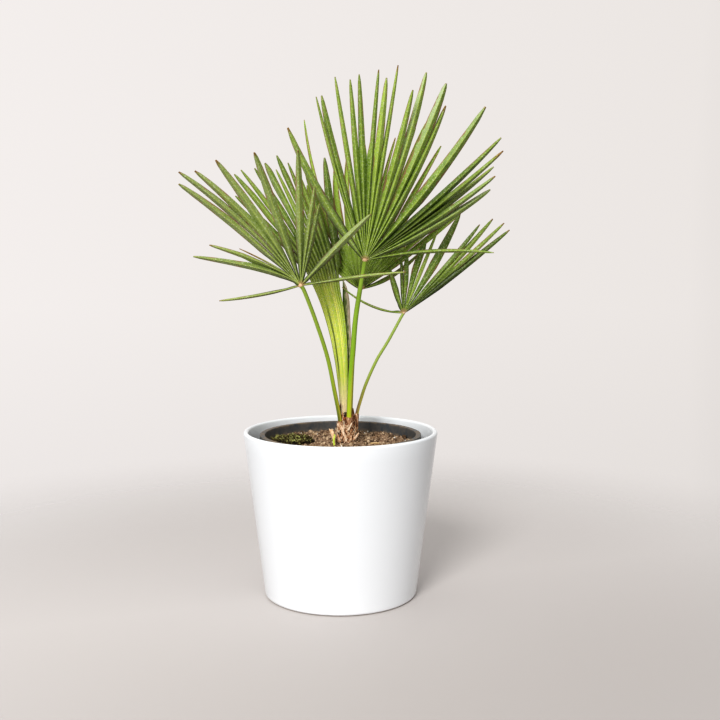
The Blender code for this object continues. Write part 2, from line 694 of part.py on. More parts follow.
def soil(finish):
    """The soil: one body that fills the nursery pot, with holes for what stands in it."""
    bottom = nursery_foot() + NURSERY_FLOOR + FIT
    bottom_radius = NURSERY_FOOT_RADIUS - NURSERY_WALL - 2 * FIT
    top_radius = nursery_radius(SOIL_TOP) - NURSERY_WALL - 2 * FIT
    rings = [circle(bottom_radius, bottom, SOIL_SIDES),
             circle(top_radius, SOIL_TOP - SOIL_EDGE_DROP, SOIL_SIDES)]
    for ring in range(SOIL_RINGS - 1, 0, -1):
        spots = circle(top_radius * ring / SOIL_RINGS, 0.0, SOIL_SIDES)
        rings.append([(x, y, soil_height(x, y)) for x, y, _ in spots])
    poles = ((0.0, 0.0, bottom), (0.0, 0.0, soil_height(0.0, 0.0)))
    made = stacked("soil", rings, poles, finish, smooth_below=60)
    above = SOIL_TOP + CRUMB_HEIGHT + DRILL_BEYOND
    stem_foot = SOIL_TOP - STEM_HOLE_DEPTH - FIT
    stem_hole = hole_radius(STEM_RADIUS, DRILL_SIDES)
    drills = [drill(stem.place, stem_foot, above, stem_hole, finish) for stem in (SPROUT, HUSK)]
    trunk_hole = TRUNK_BURIED_RADIUS + 3 * FIT
    drills.append(drill(TRUNK_CENTRE, TRUNK_FOOT - FIT, above, trunk_hole, finish, TRUNK_SIDES))
    apply_boolean(made, drills, "DIFFERENCE")
    return made


def moss(finish):
    """The moss: a bumpy cushion with an uneven edge and a flat underside."""
    bottom = REST_HEIGHT + FIT
    rings = []
    for ring in range(MOSS_RINGS + 1):
        share = 1 - ring / (MOSS_RINGS + 1)
        spots = []
        for across, away, _ in circle(1.0, 0.0, MOSS_SIDES):
            wave = noise.noise(Vector((3 * across, 3 * away, 0.0)))
            edge = share * (1 - MOSS_EDGE_WAVE * (0.5 - wave))
            x = MOSS_CENTRE[0] + MOSS_RADII[0] * edge * across
            y = MOSS_CENTRE[1] + MOSS_RADII[1] * edge * away
            dome = MOSS_EDGE + MOSS_HEIGHT * (1 - share ** 3)
            bump = MOSS_BUMP * noise.noise(Vector((x, y, 0.1)) / MOSS_BUMP_SIZE) * (1 - share)
            spots.append((x, y, bottom if ring == 0 else bottom + dome + bump))
        rings.append(spots)
    poles = ((*MOSS_CENTRE, bottom), (*MOSS_CENTRE, bottom + MOSS_HEIGHT))
    return stacked("moss", rings, poles, finish, smooth_below=60)


def trunk_radius(height, angle):
    """The trunk's radius: even below the soil's top, rough and narrower above it."""
    if height <= SOIL_TOP + STEM_ABOVE:
        return TRUNK_BURIED_RADIUS
    share = (height - SOIL_TOP) / (TRUNK_TOP - SOIL_TOP)
    rough = noise.noise(Vector((2.2 * math.cos(angle), 2.2 * math.sin(angle), height / TRUNK_LUMP)))
    return TRUNK_BURIED_RADIUS * (1.02 - TRUNK_TAPER * share ** 2) + TRUNK_ROUGHNESS * rough


def trunk_axis(height):
    """The middle of the trunk at a height; it leans a little to the right."""
    share = max(0.0, (height - SOIL_TOP) / (TRUNK_TOP - SOIL_TOP))
    return Vector((TRUNK_CENTRE[0] + TRUNK_LEAN * share, TRUNK_CENTRE[1], height))


def old_leaf_base(index, finish):
    """One old leaf base: a flat pointed scale that springs from the trunk and stands up beside it."""
    angle = BASE_TURN * index + 0.4
    foot = trunk_axis(BASE_LOWEST + BASE_ROW_RISE * (index % BASE_ROWS))
    length = BASE_LENGTHS[(index * 5) % len(BASE_LENGTHS)]
    out = Vector((math.cos(angle), math.sin(angle), 0.0))
    path = [foot + away * out + Vector((0, 0, rise * length)) for away, rise in BASE_CURVE]
    return tube("old_leaf_base", path, BASE_RADII, BASE_SIDES, finish)


def trunk(finish, petioles):
    """The trunk: a rough stock with old leaf bases and a sheath round each petiole, and a hole for each."""
    rings = []
    for height in TRUNK_RINGS:
        axis = trunk_axis(height)
        crown = TRUNK_CROWN if height == TRUNK_TOP else 1.0
        angles = [2 * math.pi * side / TRUNK_SIDES for side in range(TRUNK_SIDES)]
        radii = [crown * trunk_radius(height, angle) for angle in angles]
        rings.append([axis + radius * Vector((math.cos(angle), math.sin(angle), 0.0))
                      for radius, angle in zip(radii, angles)])
    stock = stacked("trunk", rings, (None, None), finish)
    additions = [old_leaf_base(index, finish) for index in range(OLD_BASES)]
    holes = []
    for path, radius in petioles:
        path = smooth_path(path, 3)
        start = path[0]
        covered = [point for point in path if (point - start).length < SHEATH_LENGTH]
        buried = [point for point in path if (point - start).length < 2 * SHEATH_LENGTH]
        sheath = (radius + SHEATH_WALL, radius + SHEATH_WALL, radius + SHEATH_LIP)
        additions.append(tube("sheath", covered, sheath, PETIOLE_SIDES, finish))
        buried[0] = start - FIT * (buried[1] - start).normalized()
        holes.append(tube("hole", buried, [hole_radius(radius, PETIOLE_SIDES)], PETIOLE_SIDES, finish))
    apply_boolean(stock, additions, "UNION")
    apply_boolean(stock, holes, "DIFFERENCE")
    drop_scraps(stock)
    return stock


def standing_blade(name, stand, finish):
    """A small flat blade on a round foot that stands in its hole in the soil."""
    foot = Vector((*stand.place, SOIL_TOP - STEM_HOLE_DEPTH))
    neck = Vector((*stand.place, SOIL_TOP + STEM_ABOVE))
    stem = tube(name, [foot, neck], [STEM_RADIUS], PETIOLE_SIDES, finish)
    start = Vector((*stand.place, SOIL_TOP + STEM_ABOVE / 2))
    path = [start + Vector((stand.lean * rise ** 2, 0, stand.height * rise)) for rise in STANDING_RISE]
    radii = [width / 2 for width in stand.widths]
    blade = tube(name + "_blade", path, radii, BASE_SIDES, finish)
    for point in blade.data.vertices:
        point.co.y = stand.place[1] + STANDING_FLATNESS * (point.co.y - stand.place[1])
    apply_boolean(stem, [blade], "UNION")
    return stem


def twig(finish):
    """A short pale stick that lies on a level spot of the soil."""
    middle = Vector((*TWIG_PLACE, REST_HEIGHT + FIT + TWIG_RADIUS))
    half = Vector((TWIG_LENGTH, TWIG_SLANT, 0.0)) / 2
    return tube("twig", [middle - half, middle, middle + half], [TWIG_RADIUS], PETIOLE_SIDES, finish)


def main():
    for thing in list(bpy.data.objects):
        bpy.data.objects.remove(thing)
    bark = material("palm bark", BARK)
    leaf = material("palm leaf", LEAF_GREEN)
    cover_pot(material("white glaze", GLAZE))
    nursery_pot(material("black plastic", BLACK_PLASTIC))
    soil(material("potting soil", SOIL_BROWN))
    moss(material("moss", MOSS_GREEN))
    fans = (FRONT, BACK, LEFT, RIGHT)
    petioles = [(fan.petiole, fan.radii[0]) for fan in fans]
    petioles.append((YOUNG_STALK, YOUNG_STALK_RADII[0]))
    petioles.append((SPEAR, max(SPEAR_RADII[:2])))
    trunk(bark, petioles)
    opened_frond(FRONT, leaf)
    opened_frond(BACK, leaf)
    opened_frond(LEFT, material("blue-green palm leaf", LEAF_BLUE_GREEN))
    opened_frond(RIGHT, leaf)
    young_frond(material("young palm leaf", YOUNG_GREEN))
    spear(material("scurfy spear", SPEAR_GREY))
    standing_blade("sprout", SPROUT, material("sprout", YOUNG_GREEN))
    dry = material("dry husk", DRY_TAN)
    standing_blade("husk", HUSK, dry)
    twig(dry)


main()
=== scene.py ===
"""Potted fan palm: the finish of every surface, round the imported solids.

Metres and degrees, +Z up, and the viewer stands on the -Y side. Each piece is worked out on grids
of two parameters, has its place in its mesh, and rides on the one body.
"""
import json
import math
from typing import NamedTuple

import bmesh
import bpy
import numpy as np
from bpy.props import FloatProperty, FloatVectorProperty, IntProperty, PointerProperty
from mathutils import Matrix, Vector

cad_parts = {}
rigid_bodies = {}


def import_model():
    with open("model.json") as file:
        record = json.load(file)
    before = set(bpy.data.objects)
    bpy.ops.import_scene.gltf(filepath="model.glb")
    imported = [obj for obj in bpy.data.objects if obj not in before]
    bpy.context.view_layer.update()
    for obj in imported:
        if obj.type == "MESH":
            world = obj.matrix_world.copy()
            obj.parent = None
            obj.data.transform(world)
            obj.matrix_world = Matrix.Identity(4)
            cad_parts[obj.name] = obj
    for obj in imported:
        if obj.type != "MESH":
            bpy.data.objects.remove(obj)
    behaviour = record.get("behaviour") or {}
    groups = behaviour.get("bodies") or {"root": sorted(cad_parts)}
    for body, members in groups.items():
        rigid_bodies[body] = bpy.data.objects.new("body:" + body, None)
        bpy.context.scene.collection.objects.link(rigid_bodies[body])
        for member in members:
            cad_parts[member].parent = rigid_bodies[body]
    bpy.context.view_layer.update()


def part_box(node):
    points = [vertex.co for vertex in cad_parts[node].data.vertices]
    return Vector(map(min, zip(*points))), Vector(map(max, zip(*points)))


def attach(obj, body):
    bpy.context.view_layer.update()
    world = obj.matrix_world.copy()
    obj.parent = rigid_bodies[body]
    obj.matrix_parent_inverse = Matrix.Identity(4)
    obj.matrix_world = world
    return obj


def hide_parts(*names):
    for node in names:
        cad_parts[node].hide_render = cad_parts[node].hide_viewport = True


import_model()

bl_info = {
    "name": "Potted fan palm",
    "version": (1, 0, 0),
    "blender": (4, 5, 0),
    "location": "3D View > Sidebar > Palm",
    "description": "Leaves, trunk, soil and pots of a young fan palm",
    "category": "Add Mesh",
}

MILLIMETRE = 0.001
ORIGIN = np.zeros(2)
SEAM = 1e-6

# Sizes that the pieces share with the solids
COVER_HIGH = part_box("cover_pot")[1]
NURSERY_LOW, NURSERY_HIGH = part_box("nursery_pot")
SOIL_LOW, SOIL_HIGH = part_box("soil")
SOIL_TOP = 0.157
MOSS_LOW, MOSS_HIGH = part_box("moss")
TRUNK_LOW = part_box("trunk")[0]
TRUNK_CENTRE = (0.0060, 0.0)
TRUNK_TOP = 0.189
TRUNK_RADIUS = 0.0115
TWIG_LOW, TWIG_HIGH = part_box("twig")
TWIG_MIDDLE = (TWIG_LOW + TWIG_HIGH) / 2

# The moss has crept a little farther left than its solid
MOSS_MIDDLE = (MOSS_LOW + MOSS_HIGH) / 2
MOSS_HALF = (MOSS_HIGH - MOSS_LOW) / 2
MOSS_MIDDLE.x -= 0.0035
MOSS_HALF.x += 0.003

# Heights between which the cover pot's foot is bare clay, and dust lies on the nursery pot's wall
BARE_FOOT = (0.0003, 0.0012)
RIM_DUST = (0.1655, 0.1672)
SOIL_DUST = (0.1605, 0.157)

# Soil: how deep the moss and the twig lie in it, and what is strewn on it
BED_DEPTH = 0.0012
TWIG_BED = 0.008
LARGEST_CRUMB = 0.0028
PALE_GRAINS = 20

# Leaf blades: their folds, the rows and columns of their grids, and their shade
DEEPEST_FOLD = 0.0042
SHARE_OF_ROOM = 0.42
HUB_ROW = 0.0015
ROOT_LEAN = 0.4
HUB_WIDTH = 0.25
FULL_WIDTH_FROM = 0.32
TIP_SHAPE = ((0, 0.4, 0.75, 0.92, 1), (1, 0.88, 0.62, 0.4, 0.12))
WIDE_GAP = 9.5
CLOSE_GAP = 4.2
LATE_ROWS = 7
PALM_STEPS = 12
FREE_STEPS = 26
ACROSS = np.array([-1, -0.72, -0.44, -0.2, -0.07, 0, 0.07, 0.2, 0.44, 0.72, 1])
RIB_SHARE = 0.1
RIB_SWELL = 0.8
RIB_WIDTH = 0.12
JOINED_MARGIN = 0.4
SHADE_RISE = 1.35
SHADE_SHARPNESS = 1.5
VALLEY_SHADE = ((0, 0.03, 0.06), (0.05, 0.15, 0.6))
GLOW = 0.05

# How far along its free part each row of a blade lies, closer together toward the tip
FREE_SHARES = 1 - (1 - np.linspace(0, 1, FREE_STEPS + 1)[1:]) ** 1.35

# Petioles, swollen at the foot and at the hub over a share of their length
PETIOLE_ROWS = 56
PETIOLE_SIDES = 18
PETIOLE_FLATNESS = 0.86
FOOT_SWELL = 0.25
FOOT_SHARE = 0.06
FOOT_ROUNDING = 0.8
HUB_SWELL = 0.18
HUB_SHARE = 0.03
KNOB_SHAPE = (1.25, 1.05, 1.0)

# Light and camera, the camera's turn in degrees
LOW_WALL = (0.2, 0.185, 0.18)
LAMP_TARGET = (0.0, 0.0, 0.25)
LAMP_DISTANCE = 2.2
LENS = 51.6
SENSOR = 36.0
CAMERA_PLACE = (0.0, -1.053, 0.349)
CAMERA_TURN = (90 - 5.74, 0, -1.09)


def linear(colour):
    """A #rrggbb colour as linear red, green and blue."""
    parts = [int(colour[start:start + 2], 16) / 255 for start in (1, 3, 5)]
    return tuple(p / 12.92 if p <= 0.04045 else ((p + 0.055) / 1.055) ** 2.4 for p in parts)


def per_mm(size):
    """A texture scale that repeats about every so many millimetres, on coordinates in metres."""
    return 1 / (size * MILLIMETRE)


class Blade(NamedTuple):
    """One leaf segment: where its tip lies from the hub, how it curves, and how its tip has dried."""

    swing: float  # degrees from straight up to the tip, positive toward +X
    reach: float  # distance from hub to tip
    width: float  # widest free part, as folded
    bend: float = 0.0  # degrees that the root is turned from the swing
    lift: float = 0.0  # degrees that the tip comes forward of its neighbours
    knee: float = 0.5  # where along the reach it turns from its root's way to its tip's
    dry: float = 2.0  # millimetres of brown tip
    bloom: float = 0.0  # how strong a painted sheen, a pale highlight, lies on the outer part of its left half
    taper: float = 0.5  # where along the reach it starts to narrow
    shade: float = 0.0  # how much farther its shade reaches than its fan's
    tone: float = 0.0  # how much lighter or darker it is than its neighbours, mostly painted light and shade


class Fan(NamedTuple):
    """One frond: its petiole, its hub, and the lean and cupping of its blades."""

    name: str
    petiole: tuple  # points from the foot in the trunk to the hub
    radii: tuple  # petiole radii, evenly spaced from the foot to the hub
    palm: float  # how far from the hub the blades stay joined
    lean: float  # degrees that the blades come forward, toward -Y
    cup: float  # further degrees for a blade 60 degrees from the middle
    middle: float  # swing of the fan's middle
    face: int  # 1 where the fold's ridge faces the viewer, -1 where its valley does
    fold: float  # how deep the V of its blades is for half its width
    shade: float  # how far from the hub its valleys lie in shade
    blades: tuple


FRONT = Fan(
    "frond_front",
    petiole=((0.0085, -0.0055, 0.172), (0.0090, -0.0070, 0.195), (0.0105, -0.0105, 0.228),
             (0.0126, -0.0175, 0.255), (0.0150, -0.0260, 0.286), (0.0193, -0.0345, 0.316),
             (0.0240, -0.0420, 0.345)),
    radii=(0.0030, 0.0032, 0.0024), palm=0.052, lean=10, cup=4, middle=10, face=1, fold=1.4, shade=0.110,
    blades=(
        Blade(-30.5, 0.146, 0.0101, -8, -2, dry=5, taper=0.1), Blade(-17, 0.162, 0.0036, -3, 3),
        Blade(-15, 0.161, 0.0079, -3.5, -2), Blade(-9.5, 0.175, 0.0050, 0, -3),
        Blade(-5, 0.171, 0.0058, 0, 2), Blade(-2, 0.175, 0.0065, 1, -2),
        Blade(4, 0.180, 0.0050, -1, -4, dry=4), Blade(6.5, 0.173, 0.0079, 1, 2),
        Blade(9.5, 0.186, 0.0043, 1, -3, dry=6), Blade(15.5, 0.167, 0.0072, 3, 2),
        Blade(18, 0.186, 0.0076, 5, -3, bloom=0.8, taper=0.7),
        Blade(24.5, 0.183, 0.0095, 5, 2, bloom=1, taper=0.7), Blade(27.5, 0.165, 0.0072, 6, -2, dry=6),
        Blade(38, 0.184, 0.0112, 6, 2, dry=3, bloom=0.45, taper=0.2),
        # The lower right blades: lower tones and longer shade, painted shade under the blades above them
        Blade(48, 0.174, 0.0065, 4, -4, shade=0.055, tone=-0.2),
        Blade(51.5, 0.168, 0.0056, 4, 3, dry=9, shade=0.060, tone=-0.4),
        Blade(54, 0.152, 0.0058, 5, -5, shade=0.065, tone=-0.3),
        Blade(57, 0.149, 0.0058, 6, 3, dry=4, bloom=0.4, shade=0.020),
        Blade(60.5, 0.138, 0.0076, 7, -3, bloom=0.9, shade=0.030), Blade(86.5, 0.126, 0.0036, -9),
    ),
)
BACK = Fan(
    "frond_back",
    petiole=((0.0104, 0.0060, 0.172), (0.0110, 0.0085, 0.195), (0.0128, 0.0165, 0.232),
             (0.0152, 0.0220, 0.270), (0.0182, 0.0250, 0.300), (0.0215, 0.0280, 0.315)),
    radii=(0.0020, 0.0017), palm=0.056, lean=-6, cup=-3, middle=5, face=-1, fold=1.4, shade=0.030,
    blades=(
        # Higher tones: painted light on blades that lie in the front frond's shade
        Blade(-31, 0.118, 0.0080, -27, 0, 0.35, dry=1, tone=0.6),
        Blade(-27.5, 0.122, 0.0090, -21.7, 1, 0.38, dry=1, tone=1.3),
        Blade(-23, 0.128, 0.0090, -16.8, -1, 0.4, dry=1, tone=1.5),
        Blade(-18.5, 0.187, 0.0037, -12, dry=1, tone=0.8),
        Blade(-12, 0.130, 0.0080, -12, 2, dry=1, tone=1),
        Blade(-5.5, 0.143, 0.0067, -10, -2, dry=1, tone=0.6),
        Blade(1, 0.150, 0.0059, -7, 1, dry=1, tone=0.5), Blade(7, 0.155, 0.0059, -5, -2, dry=1),
        Blade(13, 0.162, 0.0044, -4, 1, dry=5), Blade(19, 0.179, 0.0059, -4, -1),
        Blade(21.5, 0.185, 0.0059, -2, 2), Blade(26, 0.179, 0.0067, -2, -2, tone=0.5),
        Blade(29.5, 0.172, 0.0059, -1, 1), Blade(32.5, 0.140, 0.0059, 0, -2, tone=0.5),
        Blade(39, 0.112, 0.0059, 0, 1), Blade(44, 0.140, 0.0059, 0, -1, tone=0.5),
        Blade(48.5, 0.138, 0.0059, 1, 1, tone=0.5), Blade(53, 0.134, 0.0067, 1, -1, dry=4),
        Blade(59, 0.072, 0.0044, 16, bloom=0.5),
    ),
)
LEFT = Fan(
    "frond_left",
    petiole=((0.0005, -0.0045, 0.172), (-0.0015, -0.0055, 0.188), (-0.0060, -0.0110, 0.212),
             (-0.0130, -0.0220, 0.248), (-0.0240, -0.0390, 0.285), (-0.0345, -0.0560, 0.315),
             (-0.0380, -0.0600, 0.321)),
    radii=(0.0025, 0.0021), palm=0.040, lean=20, cup=3, middle=-20, face=1, fold=1.4, shade=0.070,
    blades=(
        Blade(-100, 0.083, 0.0028, -5, dry=3), Blade(-74, 0.108, 0.0062, 30, -1, 0.2, dry=1),
        Blade(-65, 0.098, 0.0052, 23, 1, 0.25, dry=3),
        Blade(-58, 0.070, 0.0016, 15, -2, 0.3, dry=17, taper=0.2), Blade(-49, 0.152, 0.0074, 5, 2, dry=2),
        Blade(-46, 0.157, 0.0070, 8, -2, dry=4), Blade(-41.5, 0.149, 0.0074, 8, 1, dry=4),
        Blade(-33, 0.144, 0.0082, 3, -1, dry=5), Blade(-18, 0.136, 0.0084, 0, 1, dry=4),
        Blade(0, 0.132, 0.0074, 0, 1, dry=3), Blade(9, 0.098, 0.0060, 0, -2),
        Blade(14, 0.085, 0.0049, 0, 1), Blade(45, 0.104, 0.0066, -2, 3, bloom=0.3),
        Blade(82, 0.112, 0.0031, -2, dry=3),
    ),
)
RIGHT = Fan(
    "frond_right",
    petiole=((0.0150, 0.0000, 0.172), (0.0170, 0.0010, 0.188), (0.0215, 0.0025, 0.204),
             (0.0270, 0.0030, 0.220), (0.0375, 0.0040, 0.243), (0.0495, 0.0045, 0.263),
             (0.0620, 0.0050, 0.286), (0.0650, 0.0050, 0.291)),
    radii=(0.0017, 0.0014), palm=0.024, lean=6, cup=0, middle=20, face=1, fold=0.6, shade=0.040,
    blades=(
        # Lower tones and longer shade: painted shade, deepest on the lowest blade's underside
        Blade(-67, 0.069, 0.0022, -21, dry=4), Blade(-18, 0.049, 0.0061, -3, shade=0.020, tone=-0.4),
        Blade(-3, 0.058, 0.0038, 0, -3, shade=0.040, tone=-0.6),
        Blade(2.5, 0.062, 0.0064, 0, 2, tone=-0.2), Blade(16, 0.078, 0.0094, 0, -1, tone=-0.3),
        Blade(21.5, 0.090, 0.0038, 1, 3), Blade(29, 0.116, 0.0086, 5, -1, dry=3, bloom=0.3, tone=-0.3),
        Blade(40, 0.118, 0.0053, 4, 1, dry=3, bloom=0.3, shade=0.025, tone=-0.3),
        Blade(43, 0.131, 0.0061, 4, -2, dry=4, shade=0.050, tone=-0.5),
        Blade(47.5, 0.136, 0.0053, 3, 1, dry=4, shade=0.060, tone=-0.5),
        Blade(51.5, 0.136, 0.0061, 2, -2, dry=4, shade=0.130, tone=-0.8),
    ),
)

# Young frond: its pleated column as x, y, z and width, and how thick it is there
YOUNG_COLUMN = (
    (0.0037, 0.0018, 0.183, 0.0072), (0.0034, 0.0024, 0.197, 0.0084), (0.0029, 0.0030, 0.209, 0.0093),
    (0.0020, 0.0035, 0.225, 0.0110), (0.0007, 0.0040, 0.242, 0.0131), (-0.0022, 0.0050, 0.267, 0.0170),
    (-0.0073, 0.0065, 0.294, 0.0220), (-0.0130, 0.0085, 0.314, 0.0262), (-0.0190, 0.0105, 0.335, 0.0345),
)
YOUNG_THICKNESS = (0.0024, 0.0022, 0.0020, 0.0018, 0.0014, 0.0010, 0.0008, 0.0006, 0.0005)
YOUNG_ROWS = 46
YOUNG_BULGE = 0.22
YOUNG_PLEAT_SHARE = 0.86
YOUNG_STALK = ((0.0042, 0.0026, 0.172), (0.0046, 0.0036, 0.186), (0.0042, 0.0046, 0.200),
               (0.0030, 0.0052, 0.214))
YOUNG_STALK_RADII = (0.0028, 0.0020, 0.0008)

# Its free blades: how they lean and curve, and how many rows past the column a close pair stays joined
YOUNG_LEAN = -5
YOUNG_KNEE = 0.4
YOUNG_UPWARD_SHARE = 0.3
YOUNG_TAPER = 0.6
YOUNG_LEAVING = 0.014
YOUNG_WIDE_GAP = 6
YOUNG_LATE_ROWS = 6
YOUNG_BLADES = (
    Blade(-49.5, 0.117, 0.007), Blade(-42.5, 0.133, 0.008), Blade(-39, 0.132, 0.006),
    Blade(-33.5, 0.125, 0.007), Blade(-28.0, 0.124, 0.0125, bloom=0.3, taper=0.8, tone=0.2),
    Blade(-24.5, 0.113, 0.005), Blade(-21.5, 0.126, 0.009), Blade(-17.5, 0.115, 0.006),
    # The lower tones of these three: painted shade among the young blades
    Blade(-14, 0.108, 0.006, tone=-0.3), Blade(-9.5, 0.102, 0.006, tone=-0.5),
    Blade(1.5, 0.115, 0.010, tone=-0.4),
)

# The depth of its folds and the strength of its stripes from its foot to its tips
YOUNG_FOLD = (0.15, 0.2, 0.6, 1.2)
YOUNG_FADING = (1, 1, 0.85, 0.1)

# Its way from the foot, how deep the shade on it is there, and how far its green has turned
YOUNG_WAY = (0, 0.115, 0.135, 0.155, 0.185, 0.22)
YOUNG_SHADE = (0, 0, 0.3, 0.8, 0.8, 0.35)
YOUNG_TURNED = (0, 0, 0.15, 0.7, 1, 1)

# The blade to the left of its crease of painted shade, and how deep that painted shade is along the way
YOUNG_CREASE = 2
YOUNG_CREASE_WAY = ((0.03, 0.055, 0.1, 0.125), (0, 0.7, 0.6, 0))

# How yellow each blade's left and right halves are in the column, partly their own yellow and partly
# painted highlight on pleats that catch the light
YOUNG_YELLOW = ((0.2, 0.3), (0.4, 0.2), (0.3, 0.0), (0.0, 0.4), (0.7, 0.6), (0.3, 0.0), (0.1, 0.5),
                (1.0, 0.9), (0.35, 0.1), (0.1, 0.05), (0.05, 0.0))

SPEAR = ((0.0055, 0.0080, 0.172), (0.0072, 0.0092, 0.195), (0.0090, 0.0105, 0.225),
         (0.0092, 0.0115, 0.255), (0.0074, 0.0123, 0.283), (0.0060, 0.0126, 0.302),
         (0.0048, 0.0128, 0.315), (0.0030, 0.0130, 0.324))
SPEAR_RADII = (0.0016, 0.0018, 0.0020, 0.0023, 0.0031, 0.0038, 0.0026, 0.0006)

# Trunk: how far it leans, how far strands may stand off, and the flakes' tone, radius and path
TRUNK_LEAN = 0.0012
STRAND_REACH = 0.0135
FLAKES = (
    (0.35, 0.0012, ((0.0008, -0.0012, 0.174), (-0.0006, -0.0016, 0.189), (0.0000, -0.0012, 0.1985))),
    (0.45, 0.0011, ((0.0125, 0.0000, 0.174), (0.0135, 0.0000, 0.185), (0.0128, 0.0004, 0.1935))),
    (0.7, 0.0011, ((0.0038, -0.0046, 0.172), (0.0030, -0.0050, 0.183), (0.0019, -0.0046, 0.1905))),
    (0.3, 0.0011, ((0.0128, -0.0050, 0.170), (0.0139, -0.0058, 0.180), (0.0136, -0.0056, 0.1885))),
    (0.8, 0.0017, ((-0.0024, -0.0078, 0.179), (0.0022, -0.0100, 0.1715), (0.0062, -0.0120, 0.1605))),
    (0.95, 0.0009, ((0.0078, -0.0110, 0.172), (0.0100, -0.0100, 0.1765), (0.0122, -0.0080, 0.1802))),
    (0.8, 0.0012, ((0.0130, -0.0092, 0.162), (0.0162, -0.0086, 0.1655), (0.0188, -0.0076, 0.1690))),
    (0.6, 0.0011, ((-0.0032, -0.0082, 0.167), (-0.0010, -0.0102, 0.1610), (0.0016, -0.0118, 0.1568))),
)

# The sheaths round the stalks' feet: which stalk, then radius, length and tone
SHEATHS = (
    (FRONT.petiole, 0.0030, 0.0145, 0.55), (BACK.petiole, 0.0021, 0.019, 0.5),
    (LEFT.petiole, 0.0023, 0.0100, 0.6), (RIGHT.petiole, 0.0018, 0.0165, 0.6),
    (YOUNG_STALK, 0.0026, 0.0125, 0.8), (SPEAR, 0.0018, 0.018, 0.5),
)


class Shape:
    """Grids of points gathered into one mesh, each with its finish and its values."""

    def __init__(self):
        self.points = []
        self.faces = []
        self.finishes = []
        self.values = []
        self.count = 0

    def add(self, points, faces, finish=0, **values):
        """Adds points, and arrays of three- or four-cornered faces that count from the first point."""
        points = np.asarray(points, float).reshape(-1, 3)
        self.points.append(points)
        for corners in faces:
            self.faces.append(corners + self.count)
            self.finishes.append(np.full(len(corners), finish))
        self.values.append({name: np.broadcast_to(np.asarray(value, float).ravel(), len(points))
                            for name, value in values.items()})
        self.count += len(points)

    def made(self, name, finishes, merge=0.0, sharp=50.0):
        """The mesh object. merge joins points that are closer than that, sharp is in degrees."""
        mesh = bpy.data.meshes.new(name)
        points = np.concatenate(self.points)
        corners = np.concatenate([faces.ravel() for faces in self.faces])
        sizes = np.concatenate([np.full(len(faces), faces.shape[1]) for faces in self.faces])
        mesh.vertices.add(len(points))
        mesh.vertices.foreach_set("co", points.astype(np.float32).ravel())
        mesh.loops.add(len(corners))
        mesh.loops.foreach_set("vertex_index", corners.astype(np.int32))
        mesh.polygons.add(len(sizes))
        mesh.polygons.foreach_set("loop_start", (np.cumsum(sizes) - sizes).astype(np.int32))
        mesh.polygons.foreach_set("material_index", np.concatenate(self.finishes).astype(np.int32))
        mesh.update(calc_edges=True)
        names = sorted({key for values in self.values for key in values})
        for key in names:
            parts = [values.get(key, np.zeros(len(block))) for values, block in zip(self.values, self.points)]
            layer = mesh.attributes.new(key, "FLOAT", "POINT")
            layer.data.foreach_set("value", np.concatenate(parts).astype(np.float32))
        if merge:
            loose = bmesh.new()
            loose.from_mesh(mesh)
            bmesh.ops.remove_doubles(loose, verts=loose.verts, dist=merge)
            loose.to_mesh(mesh)
            loose.free()
        for finish in finishes:
            mesh.materials.append(finish)
        mesh.validate()
        mesh.shade_smooth()
        mesh.set_sharp_from_angle(angle=math.radians(sharp))
        made = bpy.data.objects.new(name, mesh)
        bpy.context.scene.collection.objects.link(made)
        return made


def grid_faces(rows, columns, wrap=False):
    """Four-cornered faces of a grid of points, row by row; wrap joins its last column to its first."""
    row, column = np.meshgrid(np.arange(rows - 1), np.arange(columns if wrap else columns - 1), indexing="ij")
    low = row * columns
    after = (column + 1) % columns
    faces = np.stack([low + column, low + after, low + columns + after, low + columns + column], -1)
    return faces.reshape(-1, 4)


def ring_solid_faces(rows, sides):
    """Faces of rings of points that are closed by a pole before the first and one after the last.

    The points are the rings, row by row, then the first pole and the last pole.
    """
    side = np.arange(sides)
    after = (side + 1) % sides
    last = (rows - 1) * sides
    first_pole = np.full(sides, rows * sides)
    bottom = np.stack([after, side, first_pole], -1)
    top = np.stack([last + side, last + after, first_pole + 1], -1)
    return [grid_faces(rows, sides, wrap=True), bottom, top]


def unit(vectors):
    """Each vector scaled to length one."""
    return vectors / np.maximum(np.linalg.norm(vectors, axis=-1, keepdims=True), 1e-12)


def smooth_rows(rows, count):
    """A Catmull-Rom curve through the rows of numbers, read at so many even steps."""
    rows = np.asarray(rows, float)
    padded = np.vstack([2 * rows[0] - rows[1], rows, 2 * rows[-1] - rows[-2]])
    at = np.linspace(0, len(rows) - 1, count)
    span = np.minimum(at.astype(int), len(rows) - 2)
    t = (at - span)[:, None]
    a, b, c, d = (padded[span + shift] for shift in range(4))
    return 0.5 * (2 * b + (c - a) * t + (2 * a - 5 * b + 4 * c - d) * t ** 2
                  + (3 * b - a - 3 * c + d) * t ** 3)


def swell(points, size, seed, waves=9):
    """Smooth uneven values from about -1 to 1 that change over the given size.

    The sum of plane sine waves that run in seeded directions, with lengths round the size.
    """
    draw = np.random.default_rng(seed)
    ways = unit(draw.normal(size=(waves, 3))) * draw.uniform(0.6, 1.5, (waves, 1)) * 2 * math.pi / size
    phases = draw.uniform(0, 2 * math.pi, waves)
    return np.sin(np.asarray(points) @ ways.T + phases).sum(axis=-1) / math.sqrt(waves)


def round_corner(centre, radius, start, steps=8):
    """Rows of radius and height round a quarter circle, anticlockwise from the start angle."""
    angles = np.radians(start + np.linspace(0, 90, steps))
    return np.stack([centre[0] + radius * np.cos(angles), centre[1] + radius * np.sin(angles)], -1)


def direction(swing, lean):
    """Unit vectors: swing turns each sideways from straight up, lean brings it forward."""
    swing, lean = np.broadcast_arrays(np.radians(swing), np.radians(lean))
    return np.stack([np.sin(swing) * np.cos(lean), -np.sin(lean), np.cos(swing) * np.cos(lean)], -1)


def turns(sides):
    """The angles of a ring's points."""
    return np.arange(sides) * 2 * math.pi / sides


